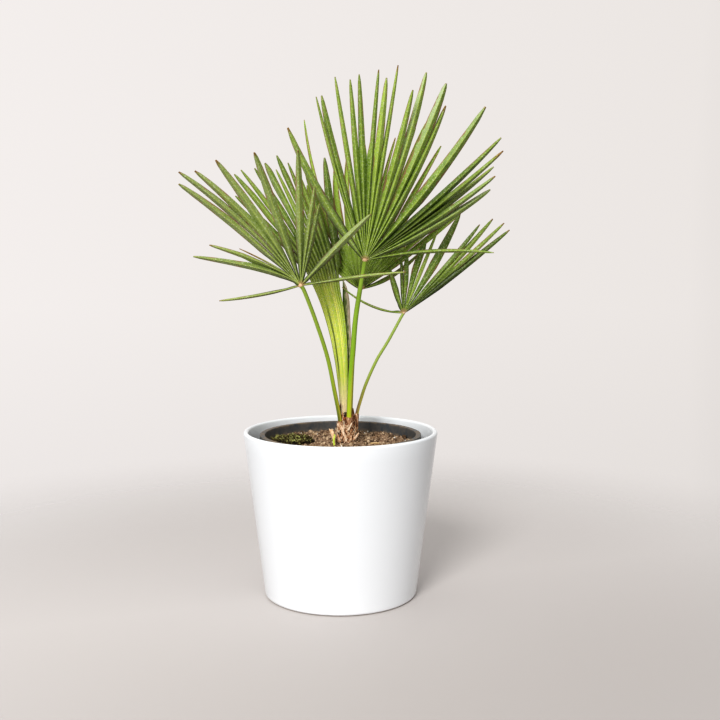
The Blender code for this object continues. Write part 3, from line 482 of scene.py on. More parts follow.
def points_round(middle, radius, angle, height):
    """Points at a distance and an angle from an upright line, whose x and y are in middle."""
    x = middle[..., 0] + radius * np.cos(angle)
    y = middle[..., 1] + radius * np.sin(angle)
    return np.stack(np.broadcast_arrays(x, y, height), -1)


def strewn(draw, count, reach, nearest=0.0, farthest=1.0):
    """x and y of random places in a disc: even over its area, between two shares of that area."""
    away = reach * np.sqrt(draw.uniform(nearest, farthest, count))
    angle = draw.uniform(0, 2 * math.pi, count)
    return away * np.cos(angle), away * np.sin(angle)


def rings_round(paths, radii, sides, flat=1.0, ridges=0.0, facing=None):
    """Rings of points round each of several paths, then each path's two ends as poles.

    paths is tube, row, xyz and radii is tube, row. A ring lies across its path; flat squeezes it
    along its second direction, which is the way it faces where one is given, and ridges raises
    every other side by that share.
    """
    along = unit(np.gradient(paths, axis=1))
    whole = paths[:, -1] - paths[:, 0]
    steady = np.eye(3)[np.argmin(np.abs(whole), axis=1)] if facing is None else facing
    across = unit(np.cross(steady[:, None, :], along))
    up = np.cross(along, across)
    turn = turns(sides)[:, None]
    reach = radii[..., None] * (1 + ridges * np.where(np.arange(sides) % 2 == 0, 0.5, -0.5))
    spread = np.cos(turn) * across[:, :, None, :] + flat * np.sin(turn) * up[:, :, None, :]
    rings = paths[:, :, None, :] + reach[..., None] * spread
    return np.concatenate([rings.reshape(len(paths), -1, 3), paths[:, :1], paths[:, -1:]], axis=1)


def add_like_solids(shape, points, faces, finish, values):
    """Adds solids with the same faces. points is solid, point, xyz, and a value is one number for each."""
    count, each = points.shape[:2]
    shift = (np.arange(count) * each)[:, None, None]
    spread = {name: np.repeat(np.broadcast_to(value, count), each) for name, value in values.items()}
    shape.add(points, [(shift + part).reshape(-1, part.shape[1]) for part in faces], finish, **spread)


def add_tubes(shape, paths, radii, sides, finish=0, flat=1.0, ridges=0.0, facing=None, **values):
    """Adds closed tubes: rings round their paths, and a pole at each end."""
    points = rings_round(paths, radii, sides, flat, ridges, facing)
    add_like_solids(shape, points, ring_solid_faces(paths.shape[1], sides), finish, values)


def add_lumps(shape, centres, sizes, draw, rows=4, sides=6, rough=0.22, finish=0, **values):
    """Adds small uneven lumps: balls of rings, stretched, roughened and turned at random.

    centres is lump, xyz, and sizes is lump, xyz as half lengths along the lump's own axes.
    """
    polar = ((np.arange(rows) + 1) * math.pi / (rows + 1) - math.pi / 2)[:, None]
    ring = points_round(ORIGIN, np.cos(polar), turns(sides), np.sin(polar)).reshape(-1, 3)
    ball = np.vstack([ring, [[0, 0, -1], [0, 0, 1]]])
    count = len(centres)
    bumps = 1 + rough * draw.uniform(-1, 1, (count, len(ball), 1))
    turned = np.linalg.qr(draw.normal(size=(count, 3, 3)))[0]
    turned[:, :, 0] *= np.sign(np.linalg.det(turned))[:, None]
    points = np.einsum("nij,nkj->nki", turned, ball * bumps * sizes[:, None, :]) + centres[:, None, :]
    add_like_solids(shape, points, ring_solid_faces(rows, sides), finish, values)


def turned_shape(profile, sides):
    """A shape of rings turned round Z from rows of radius and height, closed at the axis."""
    rings = points_round(ORIGIN, profile[:, :1], turns(sides), profile[:, 1:])
    poles = [[0, 0, profile[0, 1]], [0, 0, profile[-1, 1]]]
    shape = Shape()
    shape.add(np.vstack([rings.reshape(-1, 3), poles]), ring_solid_faces(len(profile), sides))
    return shape


def blade_width(amount, taper):
    """How wide a blade is along its length, from 0 at the hub to 1 at the tip, as a share of its widest.

    It widens in a straight line from the hub. Past its taper it narrows slowly and then fast, to a
    small blunt end.
    """
    rise = np.clip(HUB_WIDTH + (1 - HUB_WIDTH) * amount / FULL_WIDTH_FROM, 0, 1)
    past = np.clip((amount - taper) / (1 - taper), 0, 1)
    return rise * np.interp(past, *TIP_SHAPE)


def curve_points(start, root, tip, amounts):
    """Points of quadratic curves that leave start toward root and end at tip."""
    t = amounts[..., None]
    return (1 - t) ** 2 * start + 2 * t * (1 - t) * root + t ** 2 * tip


def ease(share):
    """Smooth steps from 0 to 1."""
    share = np.clip(share, 0, 1)
    return share * share * (3 - 2 * share)


def column_of(blades, field):
    """One field of each blade as an array."""
    return np.array([getattr(blade, field) for blade in blades], float)


def room_beside(middles, side):
    """How far each midrib point is from the next blade's midrib on that side."""
    count, rows = middles.shape[:2]
    room = np.ones((count, rows))
    for blade in range(count):
        other = blade + side
        if 0 <= other < count:
            starts = middles[other, :-1]
            spans = middles[other, 1:] - starts
            away = middles[blade][:, None] - starts
            share = np.clip((away * spans).sum(-1) / (spans ** 2).sum(-1), 0, 1)[..., None]
            room[blade] = np.linalg.norm(away - share * spans, axis=-1).min(axis=1)
    return room


def sheet_faces(rows, columns):
    """Faces of a grid of points and of a second one behind it: near, far, foot, tip, left and right."""
    layer = rows * columns
    near = grid_faces(rows, columns)
    step = np.arange(columns - 1)
    foot = np.stack([step, step + layer, step + 1 + layer, step + 1], -1)
    low = np.arange(rows - 1) * columns
    left = np.stack([low, low + columns, low + columns + layer, low + layer], -1)
    right = left[:, [1, 0, 3, 2]] + columns - 1
    return near, near[:, ::-1] + layer, foot, foot[:, ::-1] + layer - columns, left, right


def add_pleated_leaf(shape, blades, middles, widths, lengths, splits, leaving, thickness, face, fold, looks):
    """Adds a leaf of folded blades as one closed pleated sheet.

    middles is blade, row, xyz and holds each blade's midrib; lengths is each row's way from the hub;
    thickness and fold, how deep the V is for half its width, go by row. looks holds how yellow each
    blade's left and right halves are, how much of that each row shows, how shaded each point is, and
    how far each row's green has turned.
    A blade's cross-section is a V whose ridge is rounded off at the rib. Up to its split row a blade
    shares its edge with the next one, halfway between the midribs and back by the fold. Past it the
    edge eases over the leaving length into one of its own, as wide as widths says and less than half
    of the way to the neighbour. The sheet is the grid moved half its thickness each way along its
    normals, thickest at the rib. The margin value is the share of the way from rib to edge, less
    where the edge is still joined, so that only parted edges dry.
    """
    count, rows = middles.shape[:2]
    along = unit(np.gradient(middles, axis=1))
    right = unit(np.cross(np.array([0.0, 1.0, 0.0]), along))
    back = np.cross(along, right)
    sides = {}
    for side in (-1, 1):
        half = np.minimum(widths / 2, SHARE_OF_ROOM * room_beside(middles, side))[..., None]
        sides[side] = middles + half * (side * right + face * fold[:, None] * back)
    row = np.arange(rows)
    for pair, split in enumerate(splits):
        apart = middles[pair + 1] - middles[pair]
        outward = unit(back[pair] + back[pair + 1])
        depth = fold[:, None] * np.minimum(np.linalg.norm(apart, axis=-1, keepdims=True) / 2, DEEPEST_FOLD)
        shared = middles[pair] + apart / 2 + face * depth * outward
        for blade, side in ((pair, 1), (pair + 1, -1)):
            left = (lengths[blade] - lengths[blade, split]) / leaving
            own = np.where(row <= split, 0.0, ease(left))[:, None]
            sides[side][blade] = shared + own * (sides[side][blade] - shared)
    share = np.abs(ACROSS)[:, None]
    ridge = (np.sqrt(share ** 2 + RIB_SHARE ** 2) - RIB_SHARE) / (math.sqrt(1 + RIB_SHARE ** 2) - RIB_SHARE)
    edge = np.where((ACROSS < 0)[:, None], sides[-1][:, :, None], sides[1][:, :, None]) - middles[:, :, None]
    depth = (edge * back[:, :, None]).sum(-1, keepdims=True) * back[:, :, None]
    surface = middles[:, :, None] + share * (edge - depth) + ridge * depth
    normal = unit(np.cross(np.gradient(surface, axis=2), np.gradient(surface, axis=1)))
    normal[:, -1] = normal[:, -2]
    for pair, split in enumerate(splits):
        shared = unit(normal[pair, :split + 1, -1] + normal[pair + 1, :split + 1, 0])
        normal[pair, :split + 1, -1] = shared
        normal[pair + 1, :split + 1, 0] = shared
    rib = 1 + RIB_SWELL * np.exp(-(ACROSS / RIB_WIDTH) ** 2)
    offset = normal * (thickness[:, None] * rib)[None, ..., None] / 2
    near = surface - offset
    far = surface + offset
    columns = len(ACROSS)
    layer = rows * columns
    *caps, left_wall, right_wall = sheet_faces(rows, columns)
    yellow, fading, shade, turned = looks
    draw = np.random.default_rng(count)
    under = np.repeat([1.0, 0.0] if face > 0 else [0.0, 1.0], layer)
    for blade, one in enumerate(blades):
        left_from = 0 if blade == 0 else splits[blade - 1]
        right_from = 0 if blade == count - 1 else splits[blade]
        way = np.repeat(lengths[blade], columns)
        parted = [np.clip((lengths[blade] - lengths[blade, split]) / leaving, 0, 1)[:, None]
                  for split in (left_from, right_from)]
        joined = 1 - np.where(ACROSS < 0, *parted)
        both = {
            "rib": np.tile(np.abs(ACROSS), rows),
            "margin": (np.abs(ACROSS) - JOINED_MARGIN * joined).ravel(),
            "hub": way,
            "tip": one.reach - way,
            "dry": np.full(layer, one.dry * MILLIMETRE),
            # Painted sheen: a pale highlight on the blade's left half, the half that faces the light
            "bloom": np.full(layer, one.bloom) * np.tile(ACROSS < 0, rows),
            "tint": np.full(layer, draw.uniform() + one.tone),
            "stripe": np.outer(fading[blade], np.where(ACROSS < 0, *yellow[blade])).ravel(),
            "shade": shade[blade].ravel(),
            "turned": np.repeat(turned[blade], columns),
        }
        doubled = {name: np.tile(value, 2) for name, value in both.items()}
        shape.add(np.concatenate([near[blade].reshape(-1, 3), far[blade].reshape(-1, 3)]),
                  [*caps, left_wall[left_from:], right_wall[right_from:]], under=under, **doubled)


def split_rows(swings, joined_rows):
    """Where neighbours part: a wide or a crossed pair at the root, a close pair past the joined rows,
    and any other at one of the last joined rows.
    """
    gaps = np.diff(swings)
    steps = np.array([0, 2, 1])[np.arange(len(gaps)) % 3]
    splits = np.where(gaps < CLOSE_GAP, joined_rows + LATE_ROWS, joined_rows - 2 * steps)
    return np.where((gaps > WIDE_GAP) | (gaps < 0), 0, splits)


def add_petiole(shape, path, radii, finish):
    """Adds a petiole: a tube along the smooth path, a little flatter than round, with its swollen ends."""
    line = smooth_rows(path, PETIOLE_ROWS)
    share = np.linspace(0, 1, PETIOLE_ROWS)
    width = np.interp(share, np.linspace(0, 1, len(radii)), radii)
    swollen = FOOT_SWELL * np.exp(-share / FOOT_SHARE) + HUB_SWELL * np.exp(-(1 - share) / HUB_SHARE)
    width = width * (1 + swollen)
    width[0] *= FOOT_ROUNDING
    add_tubes(shape, line[None], width[None], PETIOLE_SIDES, finish, flat=PETIOLE_FLATNESS)
    shape.values[-1]["hub"] = np.append(np.repeat(share, PETIOLE_SIDES), (0.0, 1.0))


def opened_frond(fan, leaf, stem, joint):
    """A frond whose blades spread from the hub: the pleated fan, its petiole and the knob between them."""
    blades = fan.blades
    hub = np.array(fan.petiole[-1])
    swing = column_of(blades, "swing")
    reach = column_of(blades, "reach")
    root_swing = swing + column_of(blades, "bend")
    lean = fan.lean + fan.cup * ((swing - fan.middle) / 60) ** 2
    knee = (column_of(blades, "knee") * reach)[:, None]
    root = hub + knee * direction(root_swing, lean * ROOT_LEAN)
    tip = hub + reach[:, None] * direction(swing, lean + column_of(blades, "lift"))
    palm = np.linspace(HUB_ROW, fan.palm, PALM_STEPS + 1)
    free = fan.palm + (reach[:, None] - fan.palm) * FREE_SHARES
    lengths = np.hstack([np.tile(palm, (len(blades), 1)), free])
    amounts = lengths / reach[:, None]
    middles = curve_points(hub, root[:, None], tip[:, None], amounts)
    widths = column_of(blades, "width")[:, None] * blade_width(amounts, column_of(blades, "taper")[:, None])
    settings = bpy.context.scene.palm_leaf
    thickness = np.full(lengths.shape[1], settings.thickness)
    fold = np.full(lengths.shape[1], fan.fold)
    leaving = settings.parting * (reach.mean() - fan.palm)
    # Painted shade: valleys darkened near the hub, and the whole blade where its shade reaches far
    farther = column_of(blades, "shade")[:, None]
    shaded = np.clip(SHADE_RISE * (1 - lengths / (fan.shade + farther)), 0, 1)
    lying = np.interp(farther, *VALLEY_SHADE)[..., None]
    shaded = shaded[..., None] * (lying + (1 - lying) * np.abs(ACROSS) ** SHADE_SHARPNESS)
    looks = (np.zeros((len(blades), 2)), np.zeros(lengths.shape), shaded, np.ones(lengths.shape))
    shape = Shape()
    add_pleated_leaf(shape, blades, middles, widths, lengths, split_rows(root_swing, PALM_STEPS), leaving,
                     thickness, fan.face, fold, looks)
    add_petiole(shape, fan.petiole, fan.radii, 1)
    knob = np.array([KNOB_SHAPE]) * fan.radii[-1]
    add_lumps(shape, hub[None], knob, np.random.default_rng(3), rows=9, sides=16, rough=0.06, finish=2)
    return shape.made(fan.name + "_leaf", (leaf, stem, joint), merge=SEAM)


def young_frond(leaf, stem):
    """The young frond: a pleated column of all its blades side by side, that part above it.

    Each midrib runs up the column's smooth middle, at its own share of the width and bulging toward
    the viewer in the middle, and then along a quadratic curve to its tip.
    """
    count = len(YOUNG_BLADES)
    joined = YOUNG_ROWS
    column = smooth_rows(YOUNG_COLUMN, joined)[None]
    across = ((np.arange(count) + 0.5) / count - 0.5)[:, None]
    width = column[..., 3]
    x = column[..., 0] + across * width
    y = column[..., 1] + YOUNG_BULGE * width * (2 * across) ** 2
    lower = np.stack([x, y, np.broadcast_to(column[..., 2], x.shape)], -1)
    start = lower[:, -1]
    upward = unit(start - lower[:, -6])
    hub = np.array(YOUNG_COLUMN[-1][:3])
    swing = column_of(YOUNG_BLADES, "swing")
    reach = column_of(YOUNG_BLADES, "reach")[:, None]
    tip = hub + reach * direction(swing, YOUNG_LEAN)
    way = unit(YOUNG_UPWARD_SHARE * upward + (1 - YOUNG_UPWARD_SHARE) * unit(tip - start))
    root = start + YOUNG_KNEE * reach * way
    amounts = np.broadcast_to(FREE_SHARES, (count, FREE_STEPS))
    upper = curve_points(start[:, None], root[:, None], tip[:, None], amounts)
    middles = np.concatenate([lower, upper], axis=1)
    steps = np.linalg.norm(np.diff(middles, axis=1), axis=-1)
    lengths = np.hstack([np.zeros((count, 1)), np.cumsum(steps, axis=1)])
    pleat = np.broadcast_to(YOUNG_PLEAT_SHARE * width / count, lower.shape[:2])
    amount = FULL_WIDTH_FROM + (1 - FULL_WIDTH_FROM) * amounts
    opened = column_of(YOUNG_BLADES, "width")[:, None] * blade_width(amount, YOUNG_TAPER)
    rows = middles.shape[1]
    row = np.arange(rows)
    thick = smooth_rows(np.array(YOUNG_THICKNESS)[:, None], joined)[:, 0]
    thickness = np.concatenate([thick, np.full(rows - joined, bpy.context.scene.palm_leaf.thickness)])
    late = np.where(np.diff(swing) < YOUNG_WIDE_GAP, YOUNG_LATE_ROWS, -3)
    splits = joined - 1 + late - 2 * (np.arange(count - 1) % 2)
    blades = [blade._replace(reach=float(lengths[index, -1])) for index, blade in enumerate(YOUNG_BLADES)]
    fold = np.interp(row, (0, 0.45 * joined, joined, rows), YOUNG_FOLD)
    fading = np.interp(row, (0, 0.5 * joined, 0.95 * joined, rows), YOUNG_FADING)
    # Painted shade on the young blades where other leaves shade them, deepest in the valleys
    shaded = np.interp(lengths, YOUNG_WAY, YOUNG_SHADE)[..., None] * (0.5 + 0.5 * np.abs(ACROSS))
    creased = np.interp(lengths, *YOUNG_CREASE_WAY)[..., None]
    # The crease and the column's left edge are darkened by painted shade
    darker = ((YOUNG_CREASE, ACROSS > -0.2), (YOUNG_CREASE + 1, ACROSS < -0.4), (0, ACROSS < -0.3))
    for blade, where in darker:
        shaded[blade] = np.maximum(shaded[blade], creased[blade] * where)
    looks = (np.array(YOUNG_YELLOW), np.broadcast_to(fading, (count, rows)), shaded,
             np.interp(lengths, YOUNG_WAY, YOUNG_TURNED))
    shape = Shape()
    add_pleated_leaf(shape, blades, middles, np.hstack([pleat, opened]), lengths, splits, YOUNG_LEAVING,
                     thickness, 1, fold, looks)
    add_petiole(shape, YOUNG_STALK, YOUNG_STALK_RADII, 1)
    return shape.made("frond_young_leaf", (leaf, stem), merge=SEAM)


def solid(colour):
    """A #rrggbb colour or three linear numbers as a node's opaque colour."""
    return (*(linear(colour) if isinstance(colour, str) else colour), 1)


def add(tree, kind, inputs=(), stops=None, out=0, **settings):
    """Adds a node with its settings, and gives its output that out names.

    inputs holds a number, a #rrggbb colour or the socket to link for each input, by name or in the
    node's own order. A range's order is value, from low, from high, to low, to high. stops holds a
    ramp's places and colours.
    """
    node = tree.nodes.new("ShaderNode" + kind)
    for name, value in settings.items():
        setattr(node, name, value)
    for name, value in (inputs if isinstance(inputs, dict) else dict(enumerate(inputs))).items():
        if isinstance(value, bpy.types.NodeSocket):
            tree.links.new(value, node.inputs[name])
        else:
            node.inputs[name].default_value = solid(value) if isinstance(value, str) else value
    if stops:
        elements = node.color_ramp.elements
        while len(elements) < len(stops):
            elements.new(0.5)
        for element, (position, colour) in zip(elements, stops):
            element.position = position
            element.color = solid(colour)
    return node.outputs[out] if len(node.outputs) else None


def new_material(name):
    """A material without nodes, its node tree, and each point's place in metres."""
    made = bpy.data.materials.new(name)
    made.use_nodes = True
    made.node_tree.nodes.clear()
    return made, made.node_tree, add(made.node_tree, "TexCoord", out="Object")


def leaf_blade(name, young, opened, foot, glow_share):
    """Living palm leaf: satin cuticle over fine crosswise puckers, paler and duller underneath.

    The eye sees green that goes from the young pair of colours to the opened pair and varies from blade
    to blade, partly as painted light and shade; yellow stripes that are partly painted highlight;
    painted shade in the valleys low in the fan and in creases; a faint light rib; pale specks of painted
    glint; a painted sheen on the left half of some blades; bases in the foot's colour; and dry brown tips
    and parted margins. Light shines through by the glow share.
    """
    made, tree, place = new_material(name)
    value = {key: add(tree, "Attribute", out="Fac", attribute_name=key)
             for key in ("rib", "hub", "tip", "dry", "bloom", "tint", "under", "stripe", "shade", "turned",
                         "margin")}
    mottle = add(tree, "TexNoise", {"Vector": place, "Scale": per_mm(9), "Detail": 3.0})
    specks = add(tree, "TexNoise", {"Vector": place, "Scale": per_mm(1.6), "Detail": 2.0})
    own = add(tree, "CombineXYZ", (value["hub"], value["rib"], value["tint"]))
    crosswise = add(tree, "VectorMath", (own, (per_mm(1.5), 1.4, 40.0)), operation="MULTIPLY")
    puckers = add(tree, "TexNoise", {"Vector": crosswise, "Scale": 1.0, "Detail": 2.0})
    uneven, relief, frayed, ragged, underside = (
        add(tree, "Math", terms, operation="MULTIPLY_ADD") for terms in (
            (puckers, 0.5, -0.14), (puckers, 1.0, specks), (mottle, 1.4, value["margin"]),
            (specks, 0.004, value["tip"]), (value["under"], 0.25, 0.0)))
    lively = add(tree, "Mix", {0: value["turned"], 2: 0.11, 3: uneven})
    clouded = add(tree, "Math", (mottle, 0.5, lively), operation="MULTIPLY_ADD")
    toned = add(tree, "Math", (value["tint"], 0.34, clouded), operation="MULTIPLY_ADD")
    beyond = add(tree, "Math", (ragged, value["dry"]), operation="DIVIDE")
    # The pale specks among these ranges are painted glints of light off the puckered surface
    ribbed, outer, edged, rooted, painted_glints, tipped, rough = (
        add(tree, "MapRange", span) for span in (
            (value["rib"], 0.03, 0.12, 0.35, 0.0), (value["tip"], 0.004, 0.1, 0.72, 0.0),
            (frayed, 1.5, 1.64, 0.0, 0.85), (value["hub"], foot[1], foot[2], 0.97, 0.0),
            (specks, 0.54, 0.68, 0.0, 0.6), (beyond, 0.7, 1.7, 1.0, 0.0), (specks, 0.3, 0.7, 0.34, 0.46)))
    # The painted sheen, a pale highlight, is strongest toward the tip
    sheen_share = add(tree, "Math", (value["bloom"], outer), operation="MULTIPLY")
    colour, full_green = (add(tree, "ValToRGB", (toned,), stops=((0.2, dark), (0.8, light)))
                          for dark, light in (young, opened))
    brown = add(tree, "ValToRGB", (specks,), stops=((0.35, "#7d5a30"), (0.65, "#b48f56")))
    # Layers over the green: stripes, underside, rib, painted glints, painted sheen, margins, painted shade,
    # foot, tips
    layers = ((value["stripe"], "#f6f288"), (value["turned"], full_green), (underside, "#9fae66"),
              (ribbed, "#bcc56c"), (painted_glints, "#d2dab8"), (sheen_share, "#ccd8b4"), (edged, "#a27a62"),
              (value["shade"], "#161e06"), (rooted, foot[0]), (tipped, brown))
    for amount, above in layers:
        colour = add(tree, "Mix", {0: amount, 6: colour, 7: above}, out=2, data_type="RGBA")
    bump = add(tree, "Bump", {"Height": relief, "Strength": 0.7, "Distance": 0.0003})
    surface = add(tree, "BsdfPrincipled", {"Base Color": colour, "Roughness": rough, "IOR": 1.45,
                                           "Normal": bump})
    glow = add(tree, "BsdfTranslucent", {"Color": colour, "Normal": bump})
    add(tree, "OutputMaterial", (add(tree, "MixShader", (glow_share, surface, glow)),))
    return made


def petiole_stem(name, foot, middle, head, low=0.08):
    """Living leaf stalk: smooth waxy rind that goes from its foot's colour to its head's.

    The eye sees faint streaks along it, a yellower right half near the foot, and a narrow dark brown
    band of painted shade where its surface turns sideways. low is the share of its length where the
    foot's colour ends.
    """
    made, tree, place = new_material(name)
    way = add(tree, "Attribute", out="Fac", attribute_name="hub")
    drawn = add(tree, "Mapping", {"Vector": place, "Scale": (1.0, 1.0, 0.06)})
    streaks = add(tree, "TexNoise", {"Vector": drawn, "Scale": per_mm(1.2), "Detail": 3.0})
    shifted = add(tree, "Math", (streaks, 0.16, way), operation="MULTIPLY_ADD")
    colour = add(tree, "ValToRGB", (shifted,), stops=((low, foot), (low + 0.32, middle), (1.0, head)))
    facing = add(tree, "NewGeometry", out="Normal")
    sideways = add(tree, "SeparateXYZ", (facing,), out="X")
    level = add(tree, "Math", (sideways,), operation="ABSOLUTE")
    # Painted shade: a dark brown band where the surface faces sideways
    margin = add(tree, "MapRange", (level, 0.8, 0.98, 0.0, 0.65))
    rightward = add(tree, "MapRange", (sideways, 0.0, 0.5, 0.0, 0.65))
    lower = add(tree, "MapRange", (way, 0.25, 0.55, 1.0, 0.0))
    yellowed = add(tree, "Math", (rightward, lower), operation="MULTIPLY")
    for amount, above in ((yellowed, "#d6ca50"), (margin, "#6b5226")):
        colour = add(tree, "Mix", {0: amount, 6: colour, 7: above}, out=2, data_type="RGBA")
    bump = add(tree, "Bump", {"Height": streaks, "Strength": 0.25, "Distance": 0.0002})
    surface = add(tree, "BsdfPrincipled", {"Base Color": colour, "Roughness": 0.38, "IOR": 1.45,
                                           "Normal": bump})
    add(tree, "OutputMaterial", (surface,))
    return made


def mottled(name, colours, size, roughness, bump_height, stretch=(1, 1, 1), attribute=None, spread=0.5):
    """A rough natural finish: colours mixed by noise of a real size, and relief from the same noise.

    An attribute, where one is named, moves each lump or strand along the colours.
    """
    made, tree, place = new_material(name)
    drawn = add(tree, "Mapping", {"Vector": place, "Scale": stretch})
    noise = add(tree, "TexNoise", {"Vector": drawn, "Scale": per_mm(size), "Detail": 6.0, "Roughness": 0.65})
    amount = noise
    if attribute:
        own = add(tree, "Attribute", out="Fac", attribute_name=attribute)
        moved = add(tree, "Math", (own, spread, -spread / 2), operation="MULTIPLY_ADD")
        amount = add(tree, "Math", (noise, moved), operation="ADD")
    places = np.linspace(0.3, 0.7, len(colours))
    colour = add(tree, "ValToRGB", (amount,), stops=tuple(zip(places, colours)))
    bump = add(tree, "Bump", {"Height": noise, "Strength": 0.8, "Distance": bump_height})
    surface = add(tree, "BsdfPrincipled", {"Base Color": colour, "Roughness": roughness, "IOR": 1.45,
                                           "Normal": bump})
    add(tree, "OutputMaterial", (surface,))
    return made


def glazed_stoneware(colour, roughness):
    """White glazed stoneware: an even gloss whose surface waves a little where the glaze has run.

    Its foot ring is bare clay, greyer and dull.
    """
    made, tree, place = new_material("glazed stoneware")
    flow = add(tree, "TexNoise", {"Vector": place, "Scale": per_mm(18), "Detail": 1.0})
    peel = add(tree, "TexNoise", {"Vector": place, "Scale": per_mm(1.5), "Detail": 2.0})
    relief = add(tree, "Math", (peel, 0.12, flow), operation="MULTIPLY_ADD")
    bump = add(tree, "Bump", {"Height": relief, "Strength": 0.25, "Distance": 0.0002})
    height = add(tree, "SeparateXYZ", (place,), out="Z")
    bare = add(tree, "MapRange", (height, *BARE_FOOT, 1.0, 0.0))
    clay = add(tree, "Mix", {0: bare, 6: solid(colour), 7: "#cfc6b8"}, out=2, data_type="RGBA")
    dull = add(tree, "MapRange", (bare, 0.0, 1.0, roughness, 0.8))
    surface = add(tree, "BsdfPrincipled", {"Base Color": clay, "Roughness": dull, "IOR": 1.52,
                                           "Normal": bump})
    add(tree, "OutputMaterial", (surface,))
    return made


def moulded_polypropylene(colour):
    """Black moulded polypropylene: satin and slightly pebbled.

    The eye sees dust on its rim and dried soil in patches just above the soil.
    """
    made, tree, place = new_material("moulded polypropylene")
    grain = add(tree, "TexNoise", {"Vector": place, "Scale": per_mm(0.9), "Detail": 3.0})
    cloud = add(tree, "TexNoise", {"Vector": place, "Scale": per_mm(7), "Detail": 4.0, "Roughness": 0.7})
    height = add(tree, "SeparateXYZ", (place,), out="Z")
    on_rim = add(tree, "MapRange", (height, *RIM_DUST, 0.2, 0.85))
    by_soil = add(tree, "MapRange", (height, *SOIL_DUST, 0.0, 0.45))
    dusty = add(tree, "Math", (on_rim, by_soil), operation="ADD")
    patch = add(tree, "MapRange", (cloud, 0.38, 0.66))
    dust = add(tree, "Math", (dusty, patch), operation="MULTIPLY")
    mixed = add(tree, "Mix", {0: dust, 6: solid(colour), 7: "#a08a70"}, out=2, data_type="RGBA")
    rough = add(tree, "MapRange", (dust, 0.0, 1.0, 0.42, 0.95))
    bump = add(tree, "Bump", {"Height": grain, "Strength": 0.3, "Distance": 0.0001})
    surface = add(tree, "BsdfPrincipled", {"Base Color": mixed, "Roughness": rough, "IOR": 1.49,
                                           "Normal": bump})
    add(tree, "OutputMaterial", (surface,))
    return made


def seat(piece, node):
    """Puts a piece on the body, and hides the solid whose place it takes, where there is one."""
    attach(piece, "root")
    if node:
        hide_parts(node)


class PalmLeafSettings(bpy.types.PropertyGroup):
    """Sizes and colours of the fronds."""

    thickness: FloatProperty(name="Blade thickness", description="How thick a blade is at its margin",
                             default=0.0005, min=0.0002, max=0.002, unit="LENGTH")
    parting: FloatProperty(name="Parting", default=0.17, min=0.02, max=0.6, subtype="FACTOR",
                           description="Share of a free blade over which it parts from the next")
    deep: FloatVectorProperty(name="Deep green", description="Darker green of an opened blade",
                              default=linear("#6c8734"), subtype="COLOR")
    bright: FloatVectorProperty(name="Bright green", description="Lighter green of an opened blade",
                                default=linear("#bcd268"), subtype="COLOR")
    young: FloatVectorProperty(name="Young green", description="Green of the frond that still opens",
                               default=linear("#e4ee74"), subtype="COLOR")


class PalmPotSettings(bpy.types.PropertyGroup):
    """Finish of the two pots."""

    glaze: FloatVectorProperty(name="Glaze", description="Colour of the cover pot's glaze",
                               default=linear("#ebedef"), subtype="COLOR")
    gloss: FloatProperty(name="Glaze roughness", description="How dull the glaze is",
                         default=0.22, min=0, max=1, subtype="FACTOR")
    plastic: FloatVectorProperty(name="Plastic", description="Colour of the nursery pot",
                                 default=linear("#494d50"), subtype="COLOR")


class PalmSoilSettings(bpy.types.PropertyGroup):
    """How crumbly the soil is, and how thick the moss."""

    crumbs: IntProperty(name="Crumbs", description="Loose crumbs on the soil", default=3900, min=0,
                        max=4000)
    crumb: FloatProperty(name="Crumb size", description="Half the length of a middling crumb",
                         default=0.0006, min=0.0003, max=0.005, unit="LENGTH")
    fibres: IntProperty(name="Fibres", description="Loose fibres on the soil", default=150, min=0,
                        max=1000)
    shoots: IntProperty(name="Moss shoots", description="Shoots in the moss patch", default=3000, min=100,
                        max=8000)


class PalmStageSettings(bpy.types.PropertyGroup):
    """Light and backdrop."""

    key: FloatProperty(name="Main light", description="Strength of the main light in watts",
                       default=32, min=0, max=2000, unit="POWER")
    key_swing: FloatProperty(name="Main light's side", default=-17, min=-180, max=180,
                             description="Degrees from the front, right is positive")
    key_rise: FloatProperty(name="Main light's height", description="Degrees above level",
                            default=29, min=0, max=90)
    sky_left: FloatVectorProperty(name="Light from the left", description="Soft light of the left side",
                                  default=(0.47, 0.465, 0.46), subtype="COLOR")
    sky_right: FloatVectorProperty(name="Light from the right", default=(0.13, 0.12, 0.115), subtype="COLOR",
                                   description="Soft light of the right side")
    wall_left: FloatVectorProperty(name="Wall's left", description="Backdrop behind the plant's left",
                                   default=(0.64, 0.615, 0.605), subtype="COLOR")
    wall_right: FloatVectorProperty(name="Wall's right", default=(0.60, 0.575, 0.56), subtype="COLOR",
                                    description="Backdrop behind the plant's right")
    sky_front: FloatVectorProperty(name="Light from the front", default=(0.31, 0.31, 0.31), subtype="COLOR",
                                   description="Soft light of the viewer's side")
    sky_top: FloatVectorProperty(name="Light from above", description="Soft light from above",
                                 default=(0.62, 0.62, 0.62), subtype="COLOR")
    floor: FloatVectorProperty(name="Floor", description="Colour of the floor",
                               default=linear("#cbc6c3"), subtype="COLOR")


